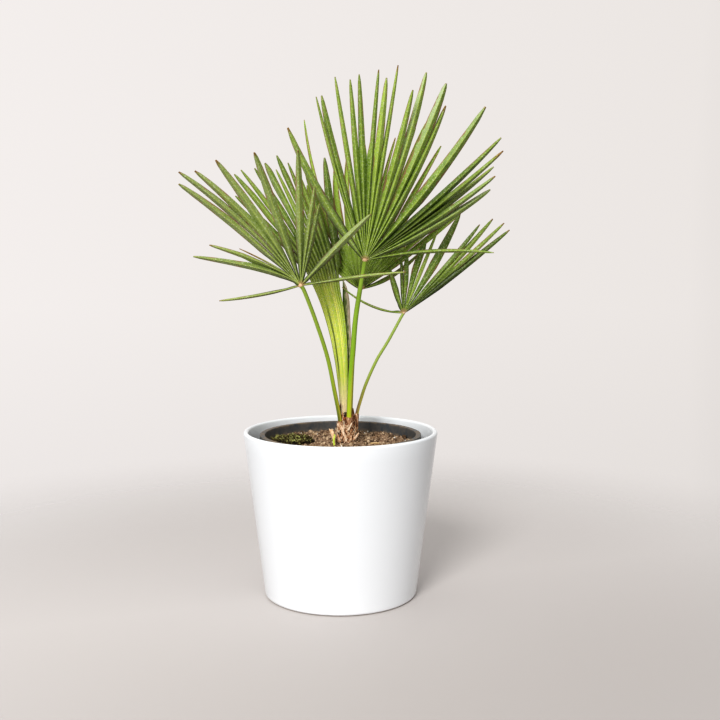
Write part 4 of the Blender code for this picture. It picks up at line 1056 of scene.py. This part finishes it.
class PALM_OT_cover_pot(bpy.types.Operator):
    """Turns the glazed cover pot from its profile, with fine rounded edges"""

    bl_idname = "palm.cover_pot"
    bl_label = "Cover pot"

    def execute(self, context):
        height = COVER_HIGH.z
        foot_radius = 0.079
        rim_radius = 0.100
        wall = 0.005
        floor = 0.008
        fillet = 0.003
        lip = wall / 2
        slope = (rim_radius - foot_radius) / height
        rim = (foot_radius + slope * (height - lip) - lip, height - lip)
        inner = foot_radius + slope * floor - wall
        # The profile: hollow foot, leaning wall, half round lip, and inside down to the floor
        hollow_foot = [(0.045, 0.0006), (0.064, 0.0006), (0.066, 0.0), (foot_radius - fillet, 0.0)]
        side = np.stack([np.linspace(foot_radius, rim[0] + lip, 12), np.linspace(fillet, rim[1], 12)], -1)
        inside = np.stack([np.linspace(rim[0] - lip, inner, 12), np.linspace(rim[1], floor + fillet, 12)], -1)
        bottom = [(inner - fillet * 0.3, floor + fillet * 0.3), (inner - fillet, floor), (0.04, floor)]
        profile = np.vstack([hollow_foot, round_corner((foot_radius - fillet, fillet), fillet, -90)[1:-1],
                             side[:-1], round_corner(rim, lip, 0), round_corner(rim, lip, 90)[1:],
                             inside[1:], bottom])
        settings = context.scene.palm_pot
        glaze = glazed_stoneware(settings.glaze, settings.gloss)
        pot = turned_shape(profile, 224).made("cover_pot_glazed", (glaze,), sharp=40)
        seat(pot, "cover_pot")
        return {"FINISHED"}


class PALM_OT_nursery_pot(bpy.types.Operator):
    """Turns the thin nursery pot with its turned-down rim, and cuts its drainage holes"""

    bl_idname = "palm.nursery_pot"
    bl_label = "Nursery pot"

    def execute(self, context):
        top = NURSERY_HIGH.z
        foot = NURSERY_LOW.z
        wall = 0.0012
        floor = 0.0015
        neck = 0.079
        rim = 0.083
        low_radius = 0.058
        skirt = top - 0.007
        soft = wall / 2
        # The profile: floor, leaning wall, the rim's turned-down skirt, and inside back down
        side = np.stack([np.linspace(low_radius, neck - 0.0002, 10),
                         np.linspace(foot + soft, top - wall, 10)], -1)
        inside = np.stack([np.linspace(neck - wall, low_radius - wall, 14),
                           np.linspace(top - soft, foot + floor, 14)], -1)
        under_rim = [(rim - wall, top - wall), (rim - wall, skirt), (rim - soft, skirt - 0.0002),
                     (rim, skirt)]
        profile = np.vstack([[(0.02, foot), (low_radius - soft, foot)], side, under_rim,
                             round_corner((rim - soft, top - soft), soft, 0, 5),
                             round_corner((neck - wall + soft, top - soft), soft, 90, 5), inside[1:],
                             [(0.02, foot + floor)]])
        plastic = moulded_polypropylene(context.scene.palm_pot.plastic)
        pot = turned_shape(profile, 144).made("nursery_pot_moulded", (plastic,), sharp=40)
        # Drainage holes: upright tubes, evenly round the floor, that are cut out of it
        holes = 6
        starts = points_round(ORIGIN, 0.040, turns(holes), foot - 0.002)
        drills = Shape()
        add_tubes(drills, np.stack([starts, starts + [0, 0, 0.006]], 1), np.full((holes, 2), 0.005), 24)
        cutter = drills.made("drills", (plastic,))
        cut = pot.modifiers.new("Drainage holes", "BOOLEAN")
        cut.operation = "DIFFERENCE"
        cut.object = cutter
        graph = context.evaluated_depsgraph_get()
        graph.update()
        whole = bpy.data.meshes.new_from_object(pot.evaluated_get(graph))
        pot.modifiers.clear()
        pot.data = whole
        bpy.data.objects.remove(cutter)
        seat(pot, "nursery_pot")
        return {"FINISHED"}


def soil_surface(x, y):
    """The soil's height: lumps of 22 and 8 mm and grains of 3.5 and 1.6 mm on a level top.

    It swells to a mound round the trunk, and eases to level under the moss and the twig.
    """
    spots = np.stack([x, y, np.zeros_like(x)], -1)
    lumps = 0.0008 * swell(spots, 0.022, 1) + 0.0006 * swell(spots, 0.008, 2)
    grains = 0.00045 * np.abs(swell(spots, 0.0035, 3)) + 0.00025 * swell(spots, 0.0016, 4)
    at_moss = np.hypot((x - MOSS_MIDDLE.x) / MOSS_HALF.x, (y - MOSS_MIDDLE.y) / MOSS_HALF.y)
    at_twig = np.hypot(x - TWIG_MIDDLE.x, y - TWIG_MIDDLE.y) / TWIG_BED
    level = np.maximum(ease((1.3 - at_moss) / 0.3), ease((1.5 - at_twig) / 0.5))
    trunk = np.hypot(x - TRUNK_CENTRE[0], y - TRUNK_CENTRE[1])
    mound = 0.0022 * np.exp(-((trunk - 0.011) / 0.010) ** 2)
    height = SOIL_TOP + lumps + grains + mound
    return height + (SOIL_TOP - BED_DEPTH - height) * level


class PALM_OT_soil(bpy.types.Operator):
    """Fills the nursery pot with potting soil, and strews crumbs, fibres and pale grains on it"""

    bl_idname = "palm.soil"
    bl_label = "Soil"

    def execute(self, context):
        settings = context.scene.palm_soil
        sides = 320
        rings = 84
        top_radius = (SOIL_HIGH.x - SOIL_LOW.x) / 2 - 0.0002
        low_radius = 0.0562
        wall_band = 0.003
        wall_drop = 0.0018
        # Rings at the soil's own height, which sink near the wall by a square, over a narrower floor
        radius = np.concatenate([[low_radius * 0.5, low_radius], top_radius * np.linspace(1, 0.012, rings)])
        x = radius[:, None] * np.cos(turns(sides))
        y = radius[:, None] * np.sin(turns(sides))
        z = soil_surface(x, y)
        z[:2] = SOIL_LOW.z
        near_wall = np.clip((radius - top_radius + wall_band) / wall_band, 0, 1)
        z[2:] -= (wall_drop * near_wall ** 2)[2:, None]
        points = np.vstack([np.stack([x, y, z], -1).reshape(-1, 3),
                            [[0, 0, SOIL_LOW.z], [0, 0, float(soil_surface(np.zeros(1), np.zeros(1))[0])]]])
        body = Shape()
        body.add(points, ring_solid_faces(len(radius), sides))
        # Damp peat and bark: dull brown lumps, dark in their hollows
        mix = mottled("peat and bark mix", ("#4e3c2c", "#7c644f", "#9d846c", "#bca58c"), 1.8, 0.95, 0.0005)
        seat(body.made("soil_mix", (mix,), sharp=70), "soil")

        # Crumbs: lumps of lognormal sizes on the open ground
        draw = np.random.default_rng(11)
        x, y = strewn(draw, settings.crumbs, top_radius * 0.985)
        open_ground = np.hypot(x - TRUNK_CENTRE[0], y - TRUNK_CENTRE[1]) > TRUNK_RADIUS
        open_ground &= np.hypot((x - MOSS_MIDDLE.x) / MOSS_HALF.x, (y - MOSS_MIDDLE.y) / MOSS_HALF.y) > 0.95
        x = x[open_ground]
        y = y[open_ground]
        count = len(x)
        size = settings.crumb * draw.lognormal(0, 0.52, (count, 1)) * draw.uniform(0.6, 1.25, (count, 3))
        size = np.minimum(size, LARGEST_CRUMB)
        centres = np.stack([x, y, soil_surface(x, y) + 0.35 * size.min(axis=1)], -1)
        crumbs = Shape()
        add_lumps(crumbs, centres, size, draw, tone=draw.uniform(0, 1, count))
        # Dry bark: each crumb dull, in a brown of its own
        loose = mottled("loose bark crumbs", ("#574635", "#86705a", "#a58d74", "#ceb89c"), 1.6, 0.95, 0.0003,
                        attribute="tone", spread=0.55)
        seat(crumbs.made("soil_crumbs", (loose,), sharp=60), None)

        # Fibres: tubes that bend off a straight line by the square of the way from its middle
        count = settings.fibres
        start = np.stack([*strewn(draw, count, top_radius * 0.94, 0.05), np.zeros(count)], -1)
        way = draw.uniform(0, 2 * math.pi, count)
        length = draw.uniform(0.003, 0.010, count)
        share = np.linspace(-0.5, 0.5, 7)
        curl = draw.uniform(-0.5, 0.5, count)[:, None] * (share ** 2)
        ahead = points_round(ORIGIN, 1, way, 0)[:, None]
        aside = np.stack([-np.sin(way), np.cos(way), np.zeros(count)], -1)[:, None]
        paths = start[:, None] + length[:, None, None] * (share[:, None] * ahead + curl[..., None] * aside)
        paths = paths[np.linalg.norm(paths[..., :2], axis=-1).max(axis=1) < top_radius * 0.97]
        paths[..., 2] = soil_surface(paths[..., 0], paths[..., 1]) + 0.0007
        thin = draw.uniform(0.00012, 0.0003, (len(paths), 1)) * np.array([0.5, 0.9, 1, 1, 1, 0.9, 0.5])
        strands = Shape()
        add_tubes(strands, paths, thin, 5, tone=draw.uniform(0, 1, len(paths)))
        # Dry roots: dull straw-coloured threads, some lighter
        straw = mottled("dry root fibre", ("#7a5b3c", "#a98b63", "#cdb48a"), 2.0, 0.85, 0.0001,
                        attribute="tone")
        seat(strands.made("soil_fibres", (straw,), sharp=60), None)

        x, y = strewn(draw, PALE_GRAINS, top_radius * 0.95, 0.1)
        size = draw.uniform(0.0005, 0.0012, (PALE_GRAINS, 3))
        pale = Shape()
        add_lumps(pale, np.stack([x, y, soil_surface(x, y) + 0.0009], -1), size, draw)
        # Expanded perlite: chalky near-white grains
        perlite = mottled("expanded perlite", ("#b9b4aa", "#e4e1da", "#f4f2ee"), 0.8, 0.9, 0.0001)
        seat(pale.made("soil_pale_grains", (perlite,), sharp=60), None)
        return {"FINISHED"}


class PALM_OT_moss(bpy.types.Operator):
    """Lays the moss patch: a low cushion under a crowd of small curved shoots"""

    bl_idname = "palm.moss"
    bl_label = "Moss"

    def execute(self, context):
        middle = MOSS_MIDDLE
        half = MOSS_HALF
        base = 0.0008
        crown = 0.0028
        # A dome over a wavy outline: it falls by the cube of the share of the way to its edge
        turn = turns(96)
        share = np.concatenate([[0.5, 1.0], np.linspace(1, 0.05, 18)])[:, None]
        edge = 0.9 + 0.05 * np.sin(3 * turn + 1) + 0.04 * np.sin(7 * turn) + 0.02 * np.sin(17 * turn)
        x = middle.x + half.x * share * edge * np.cos(turn)
        y = middle.y + half.y * share * edge * np.sin(turn)
        spots = np.stack([x, y, np.zeros_like(x)], -1)
        dome = base + crown * (1 - share ** 3) + 0.0010 * swell(spots, 0.006, 21) * (1 - share)
        z = MOSS_LOW.z + np.where(np.arange(len(share))[:, None] < 2, 0, dome)
        poles = [[middle.x, middle.y, MOSS_LOW.z], [middle.x, middle.y, MOSS_LOW.z + base + crown]]
        cushion = Shape()
        cushion.add(np.vstack([np.stack([x, y, z], -1).reshape(-1, 3), poles]),
                    ring_solid_faces(len(share), len(turn)))
        # Old moss: dark brown earth that shows between the shoots
        ground = mottled("moss cushion", ("#1e170e", "#3a2e1d", "#5c4d34"), 1.4, 0.95, 0.0006)
        seat(cushion.made("moss_cushion", (ground,), sharp=70), "moss")

        # Shoots: each rises from the dome and leans off by the square of the share of its height
        draw = np.random.default_rng(23)
        count = context.scene.palm_soil.shoots
        x, y = strewn(draw, count, 0.93, farthest=0.92)
        foot = MOSS_LOW.z + 0.0006 + crown * (1 - np.hypot(x, y) ** 3)
        x = middle.x + half.x * x
        y = middle.y + half.y * y
        patch = swell(np.stack([x, y, 0 * x], -1), 0.007, 5)
        length = (draw.uniform(0.0010, 0.0026, count) * (1 + 0.45 * patch))[:, None, None]
        lean = draw.normal(0, 0.8, (count, 1, 2))
        share = np.array([0, 0.5, 1.0])[None, :, None]
        rise = length * share * np.array([0, 0, 1.0])
        out = length * share ** 2 * np.concatenate([lean, np.zeros((count, 1, 1))], -1)
        paths = np.stack([x, y, foot], -1)[:, None] + rise + out
        radii = draw.uniform(0.00016, 0.00034, (count, 1)) * np.array([1.0, 1.15, 0.25])
        shoots = Shape()
        tone = np.clip(0.22 + 0.3 * patch + draw.normal(0, 0.3, count), 0, 1)
        add_tubes(shoots, paths, radii, 4, tone=tone)
        # Living moss: tips from brown to yellow-green, shoot by shoot
        green = mottled("moss shoots", ("#281f13", "#564829", "#7d7242", "#cdd084"), 3.0, 0.8, 0.0001,
                        attribute="tone", spread=0.6)
        seat(shoots.made("moss_shoots", (green,), sharp=70), None)
        return {"FINISHED"}


def trunk_radius(height):
    """The trunk's radius at a height: full in the soil, then narrowing to where the stalks leave it."""
    return np.interp(height, (TRUNK_LOW.z, 0.157, 0.163, 0.170, 0.176, 0.182, 0.187, TRUNK_TOP),
                     (0.0112, 0.0112, 0.0103, 0.0097, 0.0087, 0.0071, 0.0050, 0.0030))


def trunk_axis(height):
    """The trunk's middle at a height, as x and y, leaning a little to the right."""
    share = np.clip((height - SOIL_TOP) / (TRUNK_TOP - SOIL_TOP), 0, 1)
    return np.stack([TRUNK_CENTRE[0] + TRUNK_LEAN * share, TRUNK_CENTRE[1] + 0 * share], -1)


def strands_round_trunk(draw, count, low, high, length, twist, off, flare):
    """Paths that climb the trunk: each starts at a random place, twists round it and leans off at its top."""
    share = np.linspace(0, 1, 9)
    start = draw.uniform(low, high, count)[:, None]
    height = start + draw.uniform(*length, count)[:, None] * share
    angle = draw.uniform(0, 2 * math.pi, count)[:, None] + draw.normal(0, twist, (count, 1)) * share
    angle = angle + draw.normal(0, 0.10, (count, 1)) * np.sin(share * math.pi * 2)
    away = trunk_radius(height) + off + draw.gamma(1.2, flare, count)[:, None] * share ** 3
    paths = points_round(trunk_axis(height), np.minimum(away, STRAND_REACH), angle, height)
    return paths, points_round(ORIGIN, 1, angle[:, 4], 0)


class PALM_OT_trunk(bpy.types.Operator):
    """Builds the trunk from its stock, old leaf bases, torn sheaths and fibres"""

    bl_idname = "palm.trunk"
    bl_label = "Trunk"

    def execute(self, context):
        # The stock: rings round the leaning axis at the trunk's radius, rough where it shows, and dark as
        # painted shade in the gaps between the strips
        rows = 60
        turn = turns(96)
        height = np.linspace(TRUNK_LOW.z, TRUNK_TOP, rows)[:, None]
        middle = trunk_axis(height)
        spots = points_round(ORIGIN, 0.012, turn, 0.3 * height)
        rough = 0.0005 * swell(spots, 0.004, 31) + 0.0003 * swell(spots, 0.0016, 32)
        radius = trunk_radius(height) + rough * ((height > SOIL_TOP - 0.004) & (height < 0.186))
        points = points_round(middle, radius, turn, height).reshape(-1, 3)
        poles = [[*middle[0, 0], TRUNK_LOW.z], [*middle[-1, 0], TRUNK_TOP]]
        trunk = Shape()
        trunk.add(np.vstack([points, poles]), ring_solid_faces(rows, len(turn)), tone=0.12)

        # Old leaf bases: flat ridged strips that climb the stock and narrow to their tops
        draw = np.random.default_rng(37)
        strips = 90
        paths, facing = strands_round_trunk(draw, strips, SOIL_TOP - 0.004, 0.170, (0.009, 0.019), 0.16,
                                            -0.0002, 0.0005)
        wide = draw.uniform(0.0007, 0.0019, (strips, 1)) * np.array([0.8, 1, 1, 1, 1, 0.95, 0.85, 0.6, 0.25])
        add_tubes(trunk, paths, wide, 8, flat=0.42, ridges=0.15, facing=facing,
                  tone=draw.uniform(0, 1, strips))

        # Sheaths: tubes along the lowest stretch of each stalk, a little wider than it
        for stalk, radius, length, tone in SHEATHS:
            line = smooth_rows(stalk, 80)
            covered = line[np.linalg.norm(line - line[0], axis=1) < length]
            sheath = smooth_rows(covered, 14)
            wide = radius + np.interp(np.linspace(0, 1, 14), (0, 0.7, 1), (0.0009, 0.0007, 0.0002))
            add_tubes(trunk, sheath[None], wide[None], 15, ridges=0.12, tone=tone)
        for tone, radius, flake in FLAKES:
            line = smooth_rows(flake, 12)
            wide = radius * np.interp(np.linspace(0, 1, 12), (0, 0.6, 0.9, 1), (1, 0.85, 0.5, 0.2))
            add_tubes(trunk, line[None], wide[None], 9, flat=0.4, ridges=0.15,
                      facing=np.array([[0.0, -1, 0]]), tone=tone)

        # A torn sheath: a bent sheet on the stock's front that leans in, with a ragged top edge
        columns = 46
        bands = 12
        low = 0.1645
        angle = np.radians(-90 + np.linspace(-78, 70, columns))
        along = np.stack([angle, 0 * angle, 0 * angle], -1)
        torn = 0.1845 + 0.0022 * swell(along, 0.9, 41) + 0.0016 * np.abs(swell(along, 0.25, 42))
        level = np.linspace(0, 1, bands)[:, None]
        height = low + (torn - low) * level
        spots = np.stack(np.broadcast_arrays(angle * 0.01, 0.0, height * 0.4), -1)
        away = trunk_radius(0.172) + 0.0002 - 0.0026 * level + 0.0004 * swell(spots, 0.003, 43)
        skins = [points_round(trunk_axis(height), radius, angle, height).reshape(-1, 3)
                 for radius in (away, away - 0.0005)]
        trunk.add(np.concatenate(skins), sheet_faces(bands, columns), 1, tone=0.6)
        # Old leaf bases: brown streaks along each strip, in a tone of its own
        bark = mottled("fibrous leaf bases", ("#24160e", "#5c3b28", "#94694a", "#c9a17e", "#e8d2b8"), 1.5,
                       0.85, 0.0006, stretch=(1, 1, 0.3), attribute="tone", spread=0.5)
        # Torn sheath: a rust-red skin, streaked along its height
        torn_sheath = mottled("torn rusty sheath", ("#34160c", "#94482a", "#c8764a", "#e6b08a"), 1.8, 0.7,
                              0.0004, stretch=(1, 1, 0.4))
        seat(trunk.made("trunk_leaf_bases", (bark, torn_sheath), sharp=55), "trunk")

        # Loose fibres: thin tubes on the same kind of path as the strips
        count = 420
        paths, _ = strands_round_trunk(draw, count, SOIL_TOP - 0.003, 0.176, (0.005, 0.015), 0.3,
                                       0.0006, 0.0009)
        thin = draw.uniform(0.00014, 0.00036, (count, 1)) * np.array([0.7, 1, 1, 1, 1, 0.9, 0.8, 0.6, 0.3])
        hair = Shape()
        add_tubes(hair, paths, thin, 4, tone=draw.uniform(0, 1, count))
        # Sheath fibre: dark and straw-pale hairs mixed
        fibre = mottled("trunk fibre", ("#3a2114", "#80502f", "#b8835a", "#dcb68c", "#efdcc0"), 3.0, 0.8,
                        0.0001, attribute="tone", spread=0.7)
        seat(hair.made("trunk_fibres", (fibre,), sharp=60), None)
        return {"FINISHED"}


class PALM_OT_opened_fronds(bpy.types.Operator):
    """Builds the four opened fronds with their petioles"""

    bl_idname = "palm.opened_fronds"
    bl_label = "Opened fronds"

    def execute(self, context):
        settings = context.scene.palm_leaf
        green = (settings.deep, settings.bright)
        grey = ("#77894a", "#b0be72")
        foot = ("#b59a74", 0.002, 0.006)
        fresh = leaf_blade("fresh palm leaf", green, green, foot, GLOW)
        olive = leaf_blade("olive palm leaf", grey, grey, foot, GLOW)
        stem = petiole_stem("leaf stalk", "#cfd436", "#94bc30", "#93ae44")
        slim = petiole_stem("slim leaf stalk", "#6f6a34", "#9cb63f", "#a0b850", 0.14)
        thin = petiole_stem("thin leaf stalk", "#7c6440", "#96a84c", "#9eb25a", 0.24)
        # Dry skin at the hub: pale tan and papery
        joint = mottled("papery leaf joint", ("#a8825c", "#d8b690", "#efdcc4"), 0.8, 0.6, 0.0002)
        finishes = ((FRONT, fresh, stem, "leaf"), (BACK, fresh, slim, "leaf"),
                    (LEFT, olive, slim, "leaf_left"), (RIGHT, fresh, thin, "leaf"))
        for fan, leaf, stalk, slot in finishes:
            seat(opened_frond(fan, leaf, stalk, joint), fan.name)
        return {"FINISHED"}


class PALM_OT_young_frond(bpy.types.Operator):
    """Builds the young frond that is still a pleated column low down"""

    bl_idname = "palm.young_frond"
    bl_label = "Young frond"

    def execute(self, context):
        settings = context.scene.palm_leaf
        leaf = leaf_blade("young palm leaf", ("#b4cc4a", settings.young), (settings.deep, settings.bright),
                          ("#fff0d2", 0.010, 0.044), GLOW)
        stem = petiole_stem("pale leaf stalk", "#f2e4b4", "#e9dc9a", "#cfd968")
        seat(young_frond(leaf, stem), "frond_young")
        return {"FINISHED"}


class PALM_OT_spear(bpy.types.Operator):
    """Builds the shut spear, pleated lengthwise and dusted with scurf"""

    bl_idname = "palm.spear"
    bl_label = "Spear"

    def execute(self, context):
        rows = 70
        sides = 20
        # A ridged tube along a smooth line, whose tone goes round it as a sine
        line = smooth_rows(SPEAR, rows)
        radius = smooth_rows(np.array(SPEAR_RADII)[:, None], rows)[:, 0]
        shape = Shape()
        add_tubes(shape, line[None], np.maximum(radius, 0.0005)[None], sides, flat=0.9, ridges=0.16)
        # Its tone is lowest on the side that faces left, where it paints shade
        shape.values[-1]["tone"] = np.append(np.tile(0.5 + 0.5 * np.sin(turns(sides)), rows), (0.5, 0.5))
        # Shut leaf under scurf: from grey-tan on its right side round to dark green on its left, which is
        # painted shade, streaked along its length
        scurf = mottled("scurfy spear leaf", ("#37460f", "#66733c", "#a09c7e", "#c8b49c"), 1.3, 0.8, 0.0002,
                        stretch=(1, 1, 0.2), attribute="tone", spread=0.55)
        seat(shape.made("frond_spear_leaf", (scurf,), sharp=60), "frond_spear")
        return {"FINISHED"}


class PALM_OT_small_things(bpy.types.Operator):
    """Builds the seedling, the dry scrap of leaf base and the twig"""

    bl_idname = "palm.small_things"
    bl_label = "Seedling, husk and twig"

    def execute(self, context):
        # Seedling: soft yellow-green with a faint sheen
        young = mottled("seedling leaf", ("#a9c840", "#c9df58", "#e4ec86"), 2.0, 0.5, 0.0001)
        # Dried leaf base: bleached tan, streaked along its height
        dry = mottled("dry leaf base", ("#c49a70", "#eccaa2", "#fbe8d0"), 1.5, 0.85, 0.0002,
                      stretch=(1, 1, 0.3))
        share = np.linspace(0, 1, 12)
        # Each stands with one prong or more: its place, its height, how far each prong leans, its radii
        stands = (
            ("sprout_blade", "sprout", young, "leaf_young", (-0.0068, -0.0245), 0.0135, (0.0006,),
             (0.0007, 0.0009, 0.0010, 0.0008, 0.0003)),
            ("husk_scrap", "husk", dry, "dry_leaf", (-0.0060, -0.0165), 0.0178, (-0.0058, -0.0030, -0.0044),
             (0.0008, 0.0008, 0.0011, 0.0012, 0.0003)),
        )
        for name, node, finish, slot, (x, y), height, leans, widths in stands:
            prongs = len(leans)
            bent = np.array(leans)[:, None] * share ** 2
            tall = height * (1 - 0.08 * np.arange(prongs))[:, None]
            rising = np.stack(np.broadcast_arrays(x + bent + 0.0003 * np.sin(share * 9), y,
                                                  SOIL_TOP + tall * share), -1)
            path = np.concatenate([np.tile([x, y, SOIL_TOP - 0.007], (prongs, 1, 1)), rising], axis=1)
            radii = np.append(0.0008, np.interp(share, (0, 0.3, 0.6, 0.85, 1), widths))
            shape = Shape()
            add_tubes(shape, path, np.tile(radii, (prongs, 1)), 12, flat=0.5, ridges=0.1)
            seat(shape.made(name, (finish,), sharp=60), node)
        half = (TWIG_HIGH.x - TWIG_LOW.x) / 2
        along = np.linspace(-1, 1, 14)
        path = np.stack([TWIG_MIDDLE.x + (half - 0.0002) * along, TWIG_MIDDLE.y + 0.001 * along,
                         TWIG_MIDDLE.z + 0.0001 * np.cos(along * 5)], -1)
        radii = 0.00068 * (1 + 0.12 * np.sin(along * 9)) * np.where(np.abs(along) > 0.95, 0.7, 1)
        shape = Shape()
        add_tubes(shape, path[None], radii[None], 10, ridges=0.1)
        # Dry twig: pale straw, streaked along its length
        straw = mottled("dry twig", ("#c09c68", "#e6c898", "#f8e4c4"), 1.2, 0.7, 0.0001, stretch=(0.2, 1, 1))
        seat(shape.made("twig_stick", (straw,), sharp=60), "twig")
        return {"FINISHED"}


def studio_paint(colour, front_shade):
    """Matt floor paint with painted shade toward the front right, that fades out round the pot."""
    made, tree, place = new_material("pale studio floor")
    away = add(tree, "VectorMath", (place,), out="Value", operation="LENGTH")
    fade = add(tree, "MapRange", (away, 0.22, 0.8), interpolation_type="SMOOTHSTEP")
    toward = add(tree, "VectorMath", (place, (0.35, -1.0, 0.0)), out="Value", operation="DOT_PRODUCT")
    # Painted shade: the floor darkens toward the viewer and to the right
    amount = add(tree, "MapRange", (toward, 0.0, 0.5, 0.0, 0.6))
    tone = add(tree, "Mix", {0: amount, 6: solid(colour), 7: front_shade}, out=2, data_type="RGBA")
    paint = add(tree, "BsdfPrincipled", {"Base Color": tone, "Roughness": 0.6, "Specular IOR Level": 0.2})
    mixed = add(tree, "MixShader", (fade, paint, add(tree, "BsdfTransparent")))
    add(tree, "OutputMaterial", (mixed,))
    return made


def soft_sky(settings):
    """Soft light from all round: a wall behind, dimmer low down, then the front's light and the top's."""
    world = bpy.data.worlds.new("soft studio")
    world.use_nodes = True
    sky = world.node_tree
    sky.nodes.clear()
    way = add(sky, "TexCoord", out="Generated")
    x, y, z = add(sky, "SeparateXYZ", (way,)).node.outputs
    across = add(sky, "MapRange", (x, -1.0, 1.0))
    colour = add(sky, "ValToRGB", (across,), stops=((0.0, settings.sky_left), (0.34, settings.wall_left),
                                                    (0.66, settings.wall_right), (1.0, settings.sky_right)))
    low = add(sky, "MapRange", (z, -0.45, -0.05, 0.2, 0.0))
    front = add(sky, "MapRange", (y, 0.6, -0.3), interpolation_type="SMOOTHSTEP")
    above = add(sky, "MapRange", (z, 0.3, 0.8), interpolation_type="SMOOTHSTEP")
    for amount, light in ((low, LOW_WALL), (front, settings.sky_front), (above, settings.sky_top)):
        colour = add(sky, "Mix", {0: amount, 6: colour, 7: solid(light)}, out=2, data_type="RGBA")
    add(sky, "OutputWorld", (add(sky, "Background", (colour, 1.0)),))
    return world


class PALM_OT_stage(bpy.types.Operator):
    """Sets the floor, the soft light and the camera"""

    bl_idname = "palm.stage"
    bl_label = "Stage"

    def execute(self, context):
        settings = context.scene.palm_stage
        scene = context.scene
        sides = 64
        level = -0.0002
        # A level disc of rings, each wider than the last by the same factor
        rings = np.geomspace(0.12, 7.0, 26)[:, None]
        points = points_round(ORIGIN, rings, turns(sides), level).reshape(-1, 3)
        side = np.arange(sides)
        centre = np.stack([side, (side + 1) % sides, np.full(sides, len(points))], -1)
        floor = Shape()
        bands = grid_faces(len(rings), sides, wrap=True)[:, ::-1]
        floor.add(np.vstack([points, [[0, 0, level]]]), [bands, centre])
        # The second colour is the floor's painted shade
        floor.made("studio_floor", (studio_paint(settings.floor, "#8f8884"),))
        scene.world = soft_sky(settings)

        lamp = bpy.data.lights.new("main light", "AREA")
        lamp.shape = "DISK"
        lamp.size = 0.8
        lamp.energy = settings.key
        light = bpy.data.objects.new("main light", lamp)
        swing = math.radians(settings.key_swing)
        rise = math.radians(settings.key_rise)
        away = np.array([math.sin(swing) * math.cos(rise), -math.cos(swing) * math.cos(rise), math.sin(rise)])
        light.location = np.array(LAMP_TARGET) + LAMP_DISTANCE * away
        light.rotation_euler = (math.pi / 2 - rise, 0, swing)
        scene.collection.objects.link(light)

        lens = bpy.data.cameras.new("camera")
        lens.lens = LENS
        lens.sensor_width = SENSOR
        camera = bpy.data.objects.new("camera", lens)
        camera.location = CAMERA_PLACE
        camera.rotation_euler = [math.radians(angle) for angle in CAMERA_TURN]
        scene.collection.objects.link(camera)
        scene.camera = camera
        scene.view_settings.view_transform = "Standard"
        scene.view_settings.look = "High Contrast"
        return {"FINISHED"}


class PALM_PT_panel(bpy.types.Panel):
    """Lists the pieces and their sizes and colours"""

    bl_idname = "PALM_PT_panel"
    bl_label = "Potted fan palm"
    bl_space_type = "VIEW_3D"
    bl_region_type = "UI"
    bl_category = "Palm"

    def draw(self, context):
        column = self.layout.column()
        for operator in OPERATORS:
            column.operator(operator.bl_idname)
        for group in SETTINGS:
            settings = getattr(context.scene, group)
            for name in SETTINGS[group].__annotations__:
                column.prop(settings, name)


OPERATORS = (PALM_OT_cover_pot, PALM_OT_nursery_pot, PALM_OT_soil, PALM_OT_moss, PALM_OT_trunk,
             PALM_OT_opened_fronds, PALM_OT_young_frond, PALM_OT_spear, PALM_OT_small_things,
             PALM_OT_stage)
SETTINGS = {"palm_leaf": PalmLeafSettings, "palm_pot": PalmPotSettings, "palm_soil": PalmSoilSettings,
            "palm_stage": PalmStageSettings}


def register():
    for made in (*SETTINGS.values(), *OPERATORS, PALM_PT_panel):
        bpy.utils.register_class(made)
    for name, group in SETTINGS.items():
        setattr(bpy.types.Scene, name, PointerProperty(type=group))


def unregister():
    for name in SETTINGS:
        delattr(bpy.types.Scene, name)
    for made in (PALM_PT_panel, *reversed(OPERATORS), *SETTINGS.values()):
        bpy.utils.unregister_class(made)


def main():
    """Makes every piece in turn."""
    register()
    for thing in list(bpy.data.objects):
        if thing.type in ("CAMERA", "LIGHT") or thing.name == "Cube":
            bpy.data.objects.remove(thing)
    for operator in OPERATORS:
        group, name = operator.bl_idname.split(".")
        getattr(getattr(bpy.ops, group), name)()


if __name__ == "__main__":
    main()
